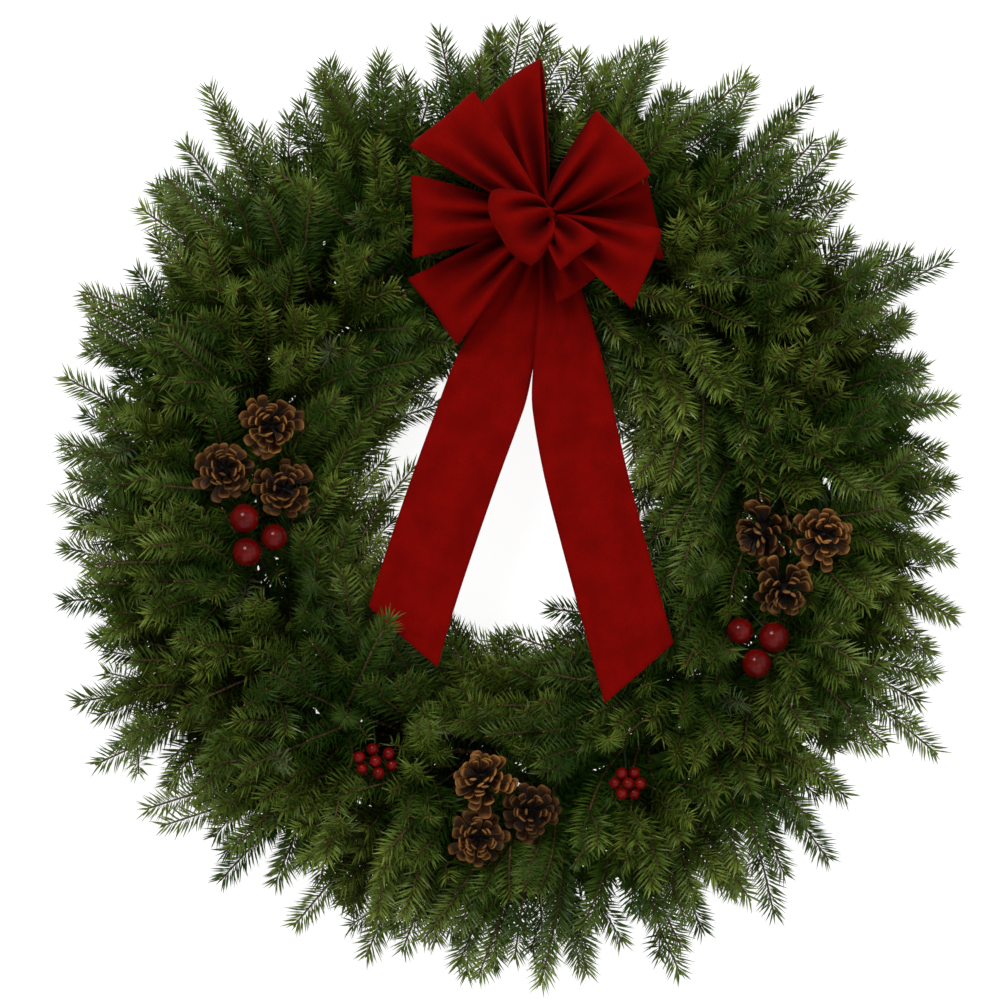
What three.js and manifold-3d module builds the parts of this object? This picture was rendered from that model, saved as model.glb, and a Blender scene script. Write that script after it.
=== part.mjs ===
// A fresh fir wreath, lying on its back with its face up. A wire ring carries a row of clamps, and each
// clamp holds one bunch of fir boughs whose shoots fan out clockwise over the next clamp. Three clusters
// of pine cones, two of red balls and two sprays of berries stand on wires that rise from the ring, and a
// red ribbon bow with two tails is tied on at the top. Millimetres, +Z up out of the wreath's face, +Y
// towards the bow, origin at the ring's centre on the surface that the ring rests on.
import * as THREE from "three";
import { mergeVertices } from "three/addons/utils/BufferGeometryUtils.js";
import Module from "manifold-3d";

// ---- Driving dimensions ----
const RING = { radius: 203, wire: 5, shoulder: 3.9, segments: 36 };
const BUNCHES = 18;
const FIRST_BUNCH_DEG = 11.32;
const GAP = 0.35; // clearance between pieces that rest on each other
const STUB = { radius: 7, length: 36, sides: 6, rootArc: 2 }; // the cut stems that lie in a clamp
const STUB_Z = RING.wire + GAP + STUB.radius;
const CLAMP = { wire: 2.4, half: 10.4, top: 21, lean: 0.9 };

// A bunch's shoots leave its stub as four stems, and each stem forks into two leaders. A leader climbs
// away from the stub at its layer's rise, measured in the upright plane through the ring's axis, and is
// swept clockwise as it goes.
const STEM_RISES_DEG = [15, 53, 127, 168];
const LAYERS = [
  { stem: 0, rise: 6, reach: 170, side: 1 },
  { stem: 0, rise: 25, reach: 158, side: -1 },
  { stem: 1, rise: 43, reach: 132, side: -1 },
  { stem: 1, rise: 64, reach: 104, side: 1 },
  { stem: 2, rise: 116, reach: 95, side: 1 },
  { stem: 2, rise: 139, reach: 92, side: 0 },
  { stem: 3, rise: 168, reach: 95, side: -1 },
];
const SWEEP = { start: 7, swing: 54, settle: 25, slope: 0.35 };
const FORK = { root: 1, part: 10, knee: 44 }; // distances from the stub's axis: where leaders start and bend
const OVAL = { gain: 0.1, lag: 0.32 }; // outer shoots reach further at the top and the bottom
const SIDE_SHOOT = { from: 0.47, end: 0.86, spread: 34 }; // shares of the leader, and how far aside it goes
const JITTER = { reach: 0.06, rise: 2.5, slope: 0.07 };
const TWIG = { stem: [2.6, 1.2], fork: [1.25, 1.1], side: [0.85, 0.85] }; // radii at the root and the tip
const NEEDLE = { length: 20, base: 2.6, slantDeg: 52, floor: 2 };
const LONG_SHOOT = 135; // leaders that reach beyond this have two rings of needles
const LEADER_RINGS = { long: [0.56, 0.9], short: [0.88] };
const SIDE_RINGS = [0.84];
const SHORTEST_SHOOT = 0.4; // a shoot that the trims would cut below this share is left out

// The trims. A foot is the clamp that the piece's wire stands beside, counted round from the first.
const PICK_WIRE = { thickness: 1.8, forkZ: 46, footFromClamp: 21, knee: 12, stagger: 6 };
const CONES = {
  left: {
    foot: 8,
    heads: [
      { at: [-190, 62, 108], radius: 24.5, axis: [0.05, -0.12, 1] },
      { at: [-227, 27, 100], radius: 24, axis: [0.15, 0.1, 1] },
      { at: [-180, 12, 95], radius: 23.5, axis: [0.1, -0.05, 1] },
    ],
  },
  right: {
    foot: 17,
    heads: [
      { at: [201, -24, 98], radius: 24.5, axis: [-0.55, -0.4, 0.75] },
      { at: [253, -26, 102], radius: 24.5, axis: [0.15, 0.1, 1] },
      { at: [221, -70, 107], radius: 24, axis: [0.1, -0.35, 0.95] },
    ],
  },
  bottom: {
    foot: 13,
    heads: [
      { at: [-21, -219, 112], radius: 24.5, axis: [-0.22, 0.35, 0.95] },
      { at: [18, -246, 99], radius: 22.5, axis: [0.1, 0.05, 1] },
      { at: [-24, -268, 96], radius: 22.5, axis: [0.05, 0.05, 1] },
    ],
  },
};
const BALLS = {
  left: {
    foot: 9,
    heads: [
      { at: [-211, -12, 97], radius: 11.8 },
      { at: [-187, -27, 95], radius: 10.5 },
      { at: [-209, -39, 98], radius: 11.6 },
    ],
  },
  right: {
    foot: 16,
    heads: [
      { at: [186, -102, 95], radius: 10.5 },
      { at: [213, -107, 95], radius: 12.2 },
      { at: [199, -128, 97], radius: 11.8 },
    ],
  },
};
const BERRIES = {
  left: { foot: 11, at: [-106, -206, 98], stretch: 1.45, turnDeg: -20 },
  right: { foot: 14, at: [96, -224, 96], stretch: 1.05, turnDeg: 60 },
};
const BERRY = { radius: 4.9, ring: 9.6, stem: 1.3, stagger: 4, forkBelow: 34 };

// The bow. Ribbon loops stand out round the gather at their bearing, each on its own level so that none
// lies in another, and narrow to the neck where the tie wire pinches them.
const RIBBON = { width: 66, neck: 13, thickness: 1.2, neckGap: 1.7 };
const GATHER = { at: [29, 228], radius: 9, low: 84, high: 160, sides: 8 };
const TIE = { foot: 3, thickness: 2.4, bendZ: 50 };
const LOOPS = [
  { bearing: 220, length: 117, z: 108, rise: -4, puff: 13, roll: 0 },
  { bearing: 103, length: 115, z: 111, rise: -4, puff: 14, roll: -12 },
  { bearing: 0, length: 92, z: 112, rise: -12, puff: 11, roll: 0 },
  { bearing: 180, length: 106, z: 120, rise: 5, puff: 13, roll: 0 },
  { bearing: -58, length: 63, z: 121, rise: -7, puff: 8, roll: 0, width: 56 },
  { bearing: 137, length: 113, z: 137, rise: 8, puff: 15, roll: 0 },
  { bearing: -28, length: 94, z: 134, rise: 10, puff: 13, roll: 0 },
  { bearing: 43, length: 88, z: 132, rise: 10, puff: 15, roll: 8 },
  { bearing: -50, length: 47, z: 147, rise: 26, puff: 9, roll: 0, width: 40 },
];
const KNOT = { bearing: 192, length: 44, z: 155, rise: 22, puff: 22, roll: 0, width: 54 };
const LOOP_STATIONS = 11;
// A tail's centre line, from the gather out: x, y, height and the ribbon's spread width there.
const TAILS = {
  left: {
    line: [[27, 219, 91, 12], [21, 197, 90, 24], [9, 162, 88, 44], [-6, 124, 87, 58], [-18, 88, 87, 66],
      [-42, 22, 88, 66], [-70, -60, 92, 66], [-81, -96, 98, 66], [-84, -107, 100, 66]],
    cut: 24,
  },
  right: {
    line: [[31, 218.8, 96, 12], [36, 195, 95, 22], [42, 166, 94, 36], [47, 124, 92, 52], [51, 82, 90, 64],
      [61, 30, 89, 66], [73, -18, 89, 66], [89, -78, 93, 66], [105, -136, 101, 66]],
    cut: -34,
  },
};
const TAIL_STATIONS = 9;

// How far a shoot's twig keeps off the trims, beyond their own size.
const CLEARANCE = { cone: 9, ball: 7, berry: 5, ribbon: 7, wireLow: 2, wireHigh: 4 };
const NEEDLE_CLEARANCE = { twig: 0.9, needle: 2.2, trim: 2 };

// ---- Small tools ----
const rad = THREE.MathUtils.degToRad;
const vec = (x, y, z) => new THREE.Vector3(x, y, z);

// A number from -1 to 1 that depends only on the three counters.
function vary(bunch, shoot, use) {
  const s = Math.sin(12.9898 * bunch + 78.233 * shoot + 37.719 * use + 4.1) * 43758.5453;
  return 2 * (s - Math.floor(s)) - 1;
}

const wasm = await Module();
wasm.setup();

function solidOf(geometry) {
  const bare = new THREE.BufferGeometry();
  bare.setAttribute("position", (geometry.index ? geometry.toNonIndexed() : geometry).getAttribute("position"));
  const merged = mergeVertices(bare, 1e-4);
  return new wasm.Manifold(
    new wasm.Mesh({
      numProp: 3,
      vertProperties: new Float32Array(merged.attributes.position.array),
      triVerts: new Uint32Array(merged.index.array),
    }),
  );
}

function geometryOf(solid) {
  const { vertProperties, triVerts } = solid.getMesh();
  const geometry = new THREE.BufferGeometry();
  geometry.setAttribute("position", new THREE.BufferAttribute(vertProperties, 3));
  geometry.setIndex(new THREE.BufferAttribute(triVerts, 1));
  return geometry;
}

const join = (geometries) => geometryOf(wasm.Manifold.union(geometries.map(solidOf)));

// Collects the faces of a closed surface, and gives them as a geometry.
class Skin {
  corners = [];

  triangle(a, b, c) {
    for (const p of [a, b, c]) this.corners.push(p.x, p.y, p.z);
  }

  quad(a, b, c, d) {
    this.triangle(a, b, c);
    this.triangle(a, c, d);
  }

  // A four-cornered patch raised to a point, as a needle or a scale is.
  spike(a, b, c, d, tip) {
    this.triangle(a, b, tip);
    this.triangle(b, c, tip);
    this.triangle(c, d, tip);
    this.triangle(d, a, tip);
  }

  geometry() {
    const made = new THREE.BufferGeometry();
    return made.setAttribute("position", new THREE.Float32BufferAttribute(this.corners, 3));
  }
}

// A three-sided wire along a smooth curve through the points.
function wire(points, thickness, steps) {
  const corners = [0, 120, 240].map((deg) =>
    new THREE.Vector2(Math.cos(rad(deg)), Math.sin(rad(deg))).multiplyScalar(0.6 * thickness));
  const extrudePath = new THREE.CatmullRomCurve3(points);
  return new THREE.ExtrudeGeometry(new THREE.Shape(corners), { extrudePath, steps });
}

// Shortest distance between the segments p1-q1 and p2-q2.
function segmentGap(p1, q1, p2, q2) {
  const d1 = q1.clone().sub(p1), d2 = q2.clone().sub(p2), r = p1.clone().sub(p2);
  const a = d1.dot(d1), e = d2.dot(d2), b = d1.dot(d2), c = d1.dot(r), f = d2.dot(r);
  const clamp = (x) => Math.min(1, Math.max(0, x));
  const denominator = a * e - b * b;
  let s = denominator > 1e-9 ? clamp((b * f - c * e) / denominator) : 0;
  let t = e > 1e-9 ? (b * s + f) / e : 0;
  if (e <= 1e-9 || t < 0 || t > 1) {
    t = clamp(t);
    s = a > 1e-9 ? clamp((b * t - c) / a) : 0;
  }
  return p1.clone().addScaledVector(d1, s).distanceTo(p2.clone().addScaledVector(d2, t));
}

// ---- Ring and clamps ----
const clampAngle = (i) => rad(FIRST_BUNCH_DEG + (360 * i) / BUNCHES);
const footAngle = (i) => clampAngle(i) + PICK_WIRE.footFromClamp / RING.radius;
const footPoint = (i, z) =>
  vec(RING.radius * Math.cos(footAngle(i)), RING.radius * Math.sin(footAngle(i)), z);

function ringWire() {
  const { radius, wire: w, shoulder, segments } = RING;
  const section = [[-w / 2, 0], [w / 2, 0], [w / 2, shoulder], [0, w], [-w / 2, shoulder], [-w / 2, 0]];
  const profile = section.map(([x, z]) => new THREE.Vector2(radius + x, z));
  return new THREE.LatheGeometry(profile, segments).rotateX(Math.PI / 2);
}

// One U-shaped clamp: a bar across under the ring's axis and two prongs bent in over the stems.
function clamp(angle) {
  const { wire: w, half, top, lean } = CLAMP;
  const low = RING.shoulder - w - 0.3;
  const outer = [[half, low], [half - lean, top]];
  const inner = [[half - lean - w, top], [half - w, low + w]];
  const rightSide = [...outer, ...inner];
  const leftSide = rightSide.map(([x, y]) => [-x, y]).reverse();
  const shape = new THREE.Shape([...rightSide, ...leftSide].map(([x, y]) => new THREE.Vector2(x, y)));
  return new THREE.ExtrudeGeometry(shape, { depth: w, bevelEnabled: false })
    .translate(0, 0, -w / 2)
    .rotateX(Math.PI / 2)
    .translate(RING.radius, 0, 0)
    .rotateZ(angle);
}

function clampRing() {
  const clamps = Array.from({ length: BUNCHES }, (_, i) => clamp(clampAngle(i)));
  return join([ringWire(), ...clamps]);
}

// ---- Where the trims keep the shoots out ----
const keepOuts = []; // capsules about a line a-b: the trim's own radius, and the one that a twig stays outside

function keepOut(a, b, own, clear) {
  keepOuts.push({ a, b, own, clear: own + clear });
}

// A ribbon is flat, so five lines along it stand for it.
function keepOutRibbon(stations) {
  for (let i = 1; i < stations.length; i++)
    for (const across of [-0.42, -0.21, 0, 0.21, 0.42]) {
      const [from, to] = [stations[i - 1], stations[i]].map((s) =>
        s.point.clone().addScaledVector(s.across, across * s.width));
      keepOut(from, to, (from.distanceTo(to) + stations[i].width) / 25 + 2, CLEARANCE.ribbon);
    }
}

function keepOutPath(points, own, clear) {
  for (let i = 1; i < points.length; i++) keepOut(points[i - 1], points[i], own, clear);
}

const blocked = (point) => keepOuts.some(({ a, b, clear }) => segmentGap(point, point, a, b) < clear);
const hitsTrim = (from, to, gap) => keepOuts.some(({ a, b, own }) => segmentGap(from, to, a, b) < own + gap);

// ---- Fir bunches ----
// A point of a shoot, given its distance from the stub, its rise and its arc length round the ring.
function bunchPoint(bunch, out, riseDeg, arc) {
  const r = RING.radius + out * Math.cos(rad(riseDeg));
  const angle = clampAngle(bunch) - arc / r;
  return vec(r * Math.cos(angle), r * Math.sin(angle), STUB_Z + out * Math.sin(rad(riseDeg)));
}

const sweep = (out) =>
  SWEEP.start + SWEEP.swing * (1 - Math.exp(-out / SWEEP.settle)) + SWEEP.slope * out;

// Every shoot of a bunch: its line as a function of 0 to 1 along it, its twig's radii, where its needle
// rings come and where its side shoots leave it.
function shootsOf(bunch) {
  const shoots = [];
  let twinKnee; // the second leader of a stem starts on the first one
  LAYERS.forEach((layer, n) => {
    const outward = layer.rise < 60;
    const oval = outward ? OVAL.gain * Math.sin(clampAngle(bunch) - OVAL.lag) ** 2 : 0;
    const reach = layer.reach * (1 + oval + JITTER.reach * vary(bunch, n, 0));
    const rise = layer.rise + JITTER.rise * vary(bunch, n, 1);
    const drift = JITTER.slope * vary(bunch, n, 2);
    const point = (out, riseDeg, aside) => bunchPoint(bunch, out, riseDeg, sweep(out) + aside);
    const stem = bunchPoint(bunch, FORK.root, STEM_RISES_DEG[layer.stem], STUB.rootArc);
    const knee = point(FORK.knee, rise, 0), tip = point(reach, rise, drift * reach);
    const root = n % 2 ? stem.lerp(twinKnee, FORK.part / FORK.knee) : stem;
    twinKnee = knee;
    const bend = FORK.knee / reach;
    const leader = (v) =>
      v < bend ? root.clone().lerp(knee, v / bend) : knee.clone().lerp(tip, (v - bend) / (1 - bend));
    const share = openShare(leader);
    if (share < SHORTEST_SHOOT) return;
    shoots.push({
      at: (u) => leader(u * share),
      radii: n % 2 ? TWIG.fork : TWIG.stem,
      rings: layer.reach > LONG_SHOOT ? LEADER_RINGS.long : LEADER_RINGS.short,
      joints: [bend / share].filter((u) => u < 0.85),
    });
    if (!layer.side || SIDE_SHOOT.from > share - 0.1) return;
    const end = SIDE_SHOOT.end + 0.05 * vary(bunch, n, 3);
    const from = leader(SIDE_SHOOT.from);
    const to = point(reach * end, rise, layer.side * SIDE_SHOOT.spread + drift * reach * end);
    const side = (u) => from.clone().lerp(to, u);
    const sideShare = openShare(side);
    if (sideShare >= SHORTEST_SHOOT)
      shoots.push({ at: (u) => side(u * sideShare), radii: TWIG.side, rings: SIDE_RINGS, joints: [] });
  });
  return shoots;
}

// The share of a line that lies clear of the trims.
function openShare(line) {
  const steps = 40;
  for (let i = 1; i <= steps; i++) if (blocked(line(i / steps))) return (i - 1) / steps;
  return 1;
}

const SIDES = 3;

// The cross-sections of a shoot's twig. Each needle ring takes two of them, a needle's width apart.
function sections(shoot) {
  const length = shoot.at(0).distanceTo(shoot.at(1));
  const half = NEEDLE.base / 2 / length;
  const stops = [0, ...shoot.joints, ...shoot.rings.flatMap((u) => [u - half, u + half])].sort((a, b) => a - b);
  return stops.map((u) => {
    const point = shoot.at(u);
    const along = shoot.at(u + 0.01).sub(shoot.at(u - 0.01)).normalize();
    const right = along.clone().cross(vec(0, 0, 1)).normalize();
    const up = right.clone().cross(along);
    const radius = THREE.MathUtils.lerp(...shoot.radii, u);
    const corners = Array.from({ length: SIDES }, (_, k) => {
      const a = Math.PI / 2 - (2 * Math.PI * k) / SIDES;
      return point.clone().addScaledVector(right, radius * Math.cos(a)).addScaledVector(up, radius * Math.sin(a));
    });
    return { u, point, along, corners };
  });
}

const placedNeedles = []; // { bunch, base, tip }
const twigs = []; // { bunch, shoot, a, b, radius }

// The first of several slants at which a needle is clear of every twig, needle and trim but its own twig.
function needleTip(base, along, outward, bunch, shoot) {
  for (const [turn, share] of [[0, 1], [-14, 1], [12, 1], [-24, 0.9], [0, 0.75], [-30, 0.7]]) {
    const slant = rad(NEEDLE.slantDeg + turn);
    const tip = base
      .clone()
      .addScaledVector(along, NEEDLE.length * share * Math.cos(slant))
      .addScaledVector(outward, NEEDLE.length * share * Math.sin(slant));
    const clear =
      tip.z > NEEDLE.floor &&
      !hitsTrim(base, tip, NEEDLE_CLEARANCE.trim) &&
      twigs.every(
        (t) => t.shoot === shoot || segmentGap(base, tip, t.a, t.b) > t.radius + NEEDLE_CLEARANCE.twig,
      ) &&
      placedNeedles.every(
        (n) => n.shoot === shoot || segmentGap(base, tip, n.base, n.tip) > NEEDLE_CLEARANCE.needle,
      );
    if (clear) {
      placedNeedles.push({ bunch, shoot, base, tip });
      return tip;
    }
  }
  return null;
}

// A shoot: a slim three-sided twig whose faces are raised into needles at each ring.
function shootGeometry(shoot, bunch) {
  const skin = new Skin();
  const rows = shoot.sections;
  const [a, b, c] = rows[0].corners;
  skin.triangle(c, b, a);
  for (let j = 1; j < rows.length; j++) {
    const [low, high] = [rows[j - 1], rows[j]];
    const ringed = shoot.rings.some((u) => low.u < u && u < high.u);
    for (let k = 0; k < SIDES; k++) {
      const next = (k + 1) % SIDES;
      const patch = [low.corners[k], low.corners[next], high.corners[next], high.corners[k]];
      let tip = null;
      if (ringed) {
        const base = patch.reduce((sum, p) => sum.add(p), vec(0, 0, 0)).divideScalar(4);
        const outward = base.clone().sub(low.point.clone().lerp(high.point, 0.5)).normalize();
        tip = needleTip(base, low.along, outward, bunch, shoot);
      }
      if (tip) skin.spike(...patch, tip);
      else skin.quad(...patch);
    }
  }
  const last = rows[rows.length - 1];
  for (let k = 0; k < SIDES; k++)
    skin.triangle(last.corners[k], last.corners[(k + 1) % SIDES], shoot.at(1));
  return skin.geometry();
}

function stub(bunch) {
  return new THREE.CylinderGeometry(STUB.radius, STUB.radius, STUB.length, STUB.sides)
    .rotateY(Math.PI / STUB.sides)
    .translate(RING.radius, 0, STUB_Z)
    .rotateZ(clampAngle(bunch));
}

function boughs() {
  const bunches = Array.from({ length: BUNCHES }, (_, i) => shootsOf(i));
  bunches.forEach((shoots, bunch) =>
    shoots.forEach((shoot) => {
      shoot.sections = sections(shoot);
      const line = [...shoot.sections.map((s) => s.point), shoot.at(1)];
      for (let j = 1; j < line.length; j++)
        twigs.push({ bunch, shoot, a: line[j - 1], b: line[j], radius: shoot.radii[0] });
    }));
  return bunches.map((shoots, bunch) =>
    join([stub(bunch), ...shoots.map((shoot) => shootGeometry(shoot, bunch))]));
}

// ---- Pine cones ----
const CONE = { around: 7, rows: 7, flat: 0.86, scaleOut: 0.2, scaleUp: 0.1, stalk: 3 };

// A cone is a rounded body whose surface is a net of diamonds, each raised to the tip of one scale.
function coneGeometry({ at, radius, axis }) {
  const skin = new Skin();
  const { around, rows, flat, scaleOut, scaleUp } = CONE;
  const body = radius * (1 - scaleOut * 0.55);
  const knot = (row, i) => {
    const tilt = Math.PI * (0.06 + (0.88 * row) / rows);
    const a = (2 * Math.PI * (i + row / 2)) / around;
    return vec(Math.sin(tilt) * Math.cos(a), Math.sin(tilt) * Math.sin(a), -Math.cos(tilt) * flat)
      .multiplyScalar(body);
  };
  for (let row = 0; row + 2 <= rows; row++)
    for (let i = 0; i < around; i++) {
      const low = knot(row, i), right = knot(row + 1, i), high = knot(row + 2, i - 1);
      const left = knot(row + 1, i - 1);
      const middle = low.clone().add(high).multiplyScalar(0.5);
      const tip = middle.clone().normalize().multiplyScalar(middle.length() + radius * scaleOut);
      skin.spike(low, right, high, left, tip.add(vec(0, 0, radius * scaleUp)));
    }
  for (let i = 0; i < around; i++) {
    skin.triangle(knot(0, i), knot(0, i + 1), knot(1, i));
    skin.triangle(knot(rows, i + 1), knot(rows, i), knot(rows - 1, i + 1));
    skin.triangle(knot(0, i + 1), knot(0, i), vec(0, 0, knot(0, 0).z));
    skin.triangle(knot(rows, i), knot(rows, i + 1), vec(0, 0, knot(rows, 0).z));
  }
  const turn = new THREE.Quaternion().setFromUnitVectors(vec(0, 0, 1), vec(...axis).normalize());
  return geometryOf(solidOf(skin.geometry().applyQuaternion(turn).translate(...at)));
}

// Where a cone's flat base end is, which its wire reaches.
function coneBase({ at, radius, axis }) {
  const body = radius * (1 - CONE.scaleOut * 0.55);
  const depth = body * CONE.flat * Math.cos(Math.PI * 0.06) + GAP;
  return vec(...at).addScaledVector(vec(...axis).normalize(), -depth);
}

// ---- Wires that carry the trims ----
const ballBase = ({ at, radius }) => vec(...at).add(vec(0, 0, -radius - GAP));

// A trunk rises from the ring beside a clamp and parts into a wire for each head.
function pickPaths(foot, heads) {
  const fork = footPoint(foot, PICK_WIRE.forkZ);
  const branches = heads.map((head, i) => {
    const end = head.axis ? coneBase(head) : ballBase(head);
    const back = vec(...(head.axis ?? [0, 0, 1])).normalize().multiplyScalar(-PICK_WIRE.knee);
    return [fork.clone().add(vec(0, 0, -2 - PICK_WIRE.stagger * i)), end.clone().add(back), end];
  });
  return [[footPoint(foot, RING.wire + GAP), fork], ...branches];
}

function pick(foot, heads) {
  return join(pickPaths(foot, heads).map((path) => wire(path, PICK_WIRE.thickness, path.length > 2 ? 3 : 1)));
}

function ballGeometry({ at, radius }) {
  return new THREE.SphereGeometry(radius, 8, 6).rotateX(Math.PI / 2).translate(...at);
}

// A spray of seven berries: one in the middle and six round it, on stems that meet in one wire.
function sprayPaths({ foot, at, stretch, turnDeg }) {
  const top = vec(...at), fork = top.clone().add(vec(0, 0, -BERRY.forkBelow));
  const low = footPoint(foot, PICK_WIRE.forkZ);
  const middle = top.clone().add(vec(0, 0, BERRY.stagger * 0.8));
  const outer = Array.from({ length: 6 }, (_, i) => {
    const a = rad(turnDeg) + (Math.PI * i) / 3;
    const height = BERRY.stagger * (i % 2 ? 0.5 : -0.5);
    const berry = vec(BERRY.ring * Math.cos(a) * stretch, BERRY.ring * Math.sin(a), height);
    return [fork.clone().lerp(middle, 0.05 + 0.09 * i), berry.add(top)];
  });
  const trunk = [[footPoint(foot, RING.wire + GAP), low], [low.clone().add(vec(0, 0, -3)), fork]];
  return { stems: [[fork.clone().add(vec(0, 0, -2)), middle], ...outer], trunk };
}

function berrySpray(spray) {
  const { stems, trunk } = sprayPaths(spray);
  return join([
    ...trunk.map((path) => wire(path, PICK_WIRE.thickness, 1)),
    ...stems.map((path) => wire(path, BERRY.stem, 1)),
    ...stems.map(([, berry]) => new THREE.IcosahedronGeometry(BERRY.radius, 0).translate(...berry)),
  ]);
}

// ---- Bow ----
// A ribbon's solid from its stations: a centre point, the direction across it, its outward normal and width.
function ribbonGeometry(stations, thickness = RIBBON.thickness) {
  const skin = new Skin();
  const edge = stations.map(({ point, across, normal, width }) => {
    const corner = (side, face) =>
      point.clone().addScaledVector(across, (side * width) / 2).addScaledVector(normal, (face * thickness) / 2);
    return [corner(-1, 1), corner(1, 1), corner(1, -1), corner(-1, -1)];
  });
  for (let j = 1; j < edge.length; j++)
    for (let k = 0; k < 4; k++) {
      const next = (k + 1) % 4;
      skin.quad(edge[j - 1][k], edge[j - 1][next], edge[j][next], edge[j][k]);
    }
  skin.quad(...[...edge[0]].reverse());
  skin.quad(...edge[edge.length - 1]);
  const made = solidOf(skin.geometry());
  return made.volume() > 0 ? geometryOf(made) : geometryOf(solidOf(flipped(skin)));
}

function flipped(skin) {
  const turned = new Skin();
  for (let i = 0; i < skin.corners.length; i += 9) {
    const [a, b, c] = [0, 3, 6].map((k) => vec(...skin.corners.slice(i + k, i + k + 3)));
    turned.triangle(a, c, b);
  }
  return turned.geometry();
}

// A loop's band runs out from the gather, round the fold and back, as a teardrop seen from its side.
function loopStations({ bearing, length, z, rise, puff, roll, width = RIBBON.width }) {
  const [a, e] = [rad(bearing), rad(rise)];
  const out = vec(Math.cos(a) * Math.cos(e), Math.sin(a) * Math.cos(e), Math.sin(e));
  const across = vec(-Math.sin(a), Math.cos(a), 0).applyAxisAngle(out, rad(roll));
  const lift = out.clone().cross(across);
  const neck = vec(GATHER.at[0], GATHER.at[1], z);
  const first = (GATHER.radius + GAP + 0.3) / Math.cos(e) + 2 * Math.abs(Math.sin(e));
  const profile = (u) => {
    const t = 2 * Math.PI * u;
    const away = first + ((length - first) * (1 - Math.cos(t))) / 2;
    const height = -RIBBON.neckGap * Math.cos(t / 2) - puff * Math.sin(t) * Math.sin(t / 2);
    return { away, height };
  };
  return Array.from({ length: LOOP_STATIONS + 1 }, (_, j) => {
    const u = j / LOOP_STATIONS, here = profile(u);
    const before = profile(Math.max(0, u - 0.01)), after = profile(Math.min(1, u + 0.01));
    const point = neck.clone().addScaledVector(out, here.away).addScaledVector(lift, here.height);
    const run = out.clone().multiplyScalar(after.away - before.away)
      .addScaledVector(lift, after.height - before.height).normalize();
    const share = (here.away - first) / (length - first);
    return { point, across, normal: run.clone().cross(across).normalize(),
      width: RIBBON.neck + (width - RIBBON.neck) * Math.pow(share, 0.85) };
  });
}

function tailStations({ line }) {
  const curve = new THREE.CatmullRomCurve3(line.map(([x, y, z]) => vec(x, y, z)));
  const widths = new THREE.CatmullRomCurve3(line.map(([, , , w]) => vec(w, 0, 0)));
  return Array.from({ length: TAIL_STATIONS + 1 }, (_, j) => {
    const u = j / TAIL_STATIONS;
    const run = curve.getTangent(u);
    const across = vec(0, 0, 1).cross(run).normalize();
    const width = Math.min(RIBBON.width, widths.getPoint(u).x);
    return { point: curve.getPoint(u), across, run, normal: run.clone().cross(across).normalize(), width };
  });
}

// A tail's last station is cut on the slant.
function tailGeometry(tail) {
  const stations = tailStations(tail);
  const last = stations[stations.length - 1];
  const slant = last.across.clone().multiplyScalar(last.width).addScaledVector(last.run, 2 * tail.cut);
  last.width = slant.length();
  last.across = slant.normalize();
  return ribbonGeometry(stations);
}

function gatherGeometry() {
  const { at, radius, low, high, sides } = GATHER;
  return new THREE.CylinderGeometry(radius, radius, high - low, sides)
    .rotateX(Math.PI / 2)
    .translate(at[0], at[1], (low + high) / 2);
}

function tiePath() {
  const top = vec(GATHER.at[0], GATHER.at[1], GATHER.low - GAP);
  return [footPoint(TIE.foot, RING.wire + GAP), footPoint(TIE.foot, TIE.bendZ), top.clone().add(vec(0, 0, -12)), top];
}

// ---- The whole wreath ----
function stateKeepOuts() {
  for (const { foot, heads } of [...Object.values(CONES), ...Object.values(BALLS)]) {
    for (const { at, radius, axis } of heads)
      keepOut(vec(...at), vec(...at), radius * (axis ? 1.12 : 1), axis ? CLEARANCE.cone : CLEARANCE.ball);
    const [trunk, ...branches] = pickPaths(foot, heads);
    keepOutPath(trunk, 1, CLEARANCE.wireLow);
    for (const path of branches)
      keepOutPath(new THREE.CatmullRomCurve3(path).getPoints(5), 1.5, CLEARANCE.wireHigh);
  }
  for (const spray of Object.values(BERRIES)) {
    const { stems, trunk } = sprayPaths(spray);
    for (const path of [...stems, trunk[1]]) keepOutPath(path, 1.5, CLEARANCE.wireHigh);
    for (const [, berry] of stems) keepOut(berry, berry, BERRY.radius, CLEARANCE.berry);
    keepOutPath(trunk[0], 1, CLEARANCE.wireLow);
  }
  for (const loop of [...LOOPS, KNOT]) keepOutRibbon(loopStations(loop));
  for (const tail of Object.values(TAILS)) keepOutRibbon(tailStations(tail));
  const tie = tiePath();
  keepOutPath(tie.slice(0, 2), 1.5, CLEARANCE.wireLow);
  keepOutPath(new THREE.CatmullRomCurve3(tie).getPoints(9).slice(3), 1.5, CLEARANCE.wireHigh);
  keepOutPath([tie[3], tie[3].clone().setZ(GATHER.high)], GATHER.radius, CLEARANCE.wireHigh);
}

const finish = (color, roughness, metalness = 0) => ({ color, roughness, metalness });
const FIR = finish(0x2f4a1c, 0.6);
const STEEL = finish(0x2c3a2a, 0.45, 0.8);
const CONE_BROWN = finish(0x6b4526, 0.75);
const BERRY_RED = finish(0x8e1414, 0.25);
const VELVET = finish(0x8a0d0a, 0.9);
const WIRE_GREEN = finish(0x34432a, 0.5, 0.6);

const wreath = new THREE.Group();

function add(name, geometry, look) {
  const mesh = new THREE.Mesh(geometry, new THREE.MeshStandardMaterial(look));
  mesh.name = name;
  wreath.add(mesh);
}

const two = (n) => String(n + 1).padStart(2, "0");

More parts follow.
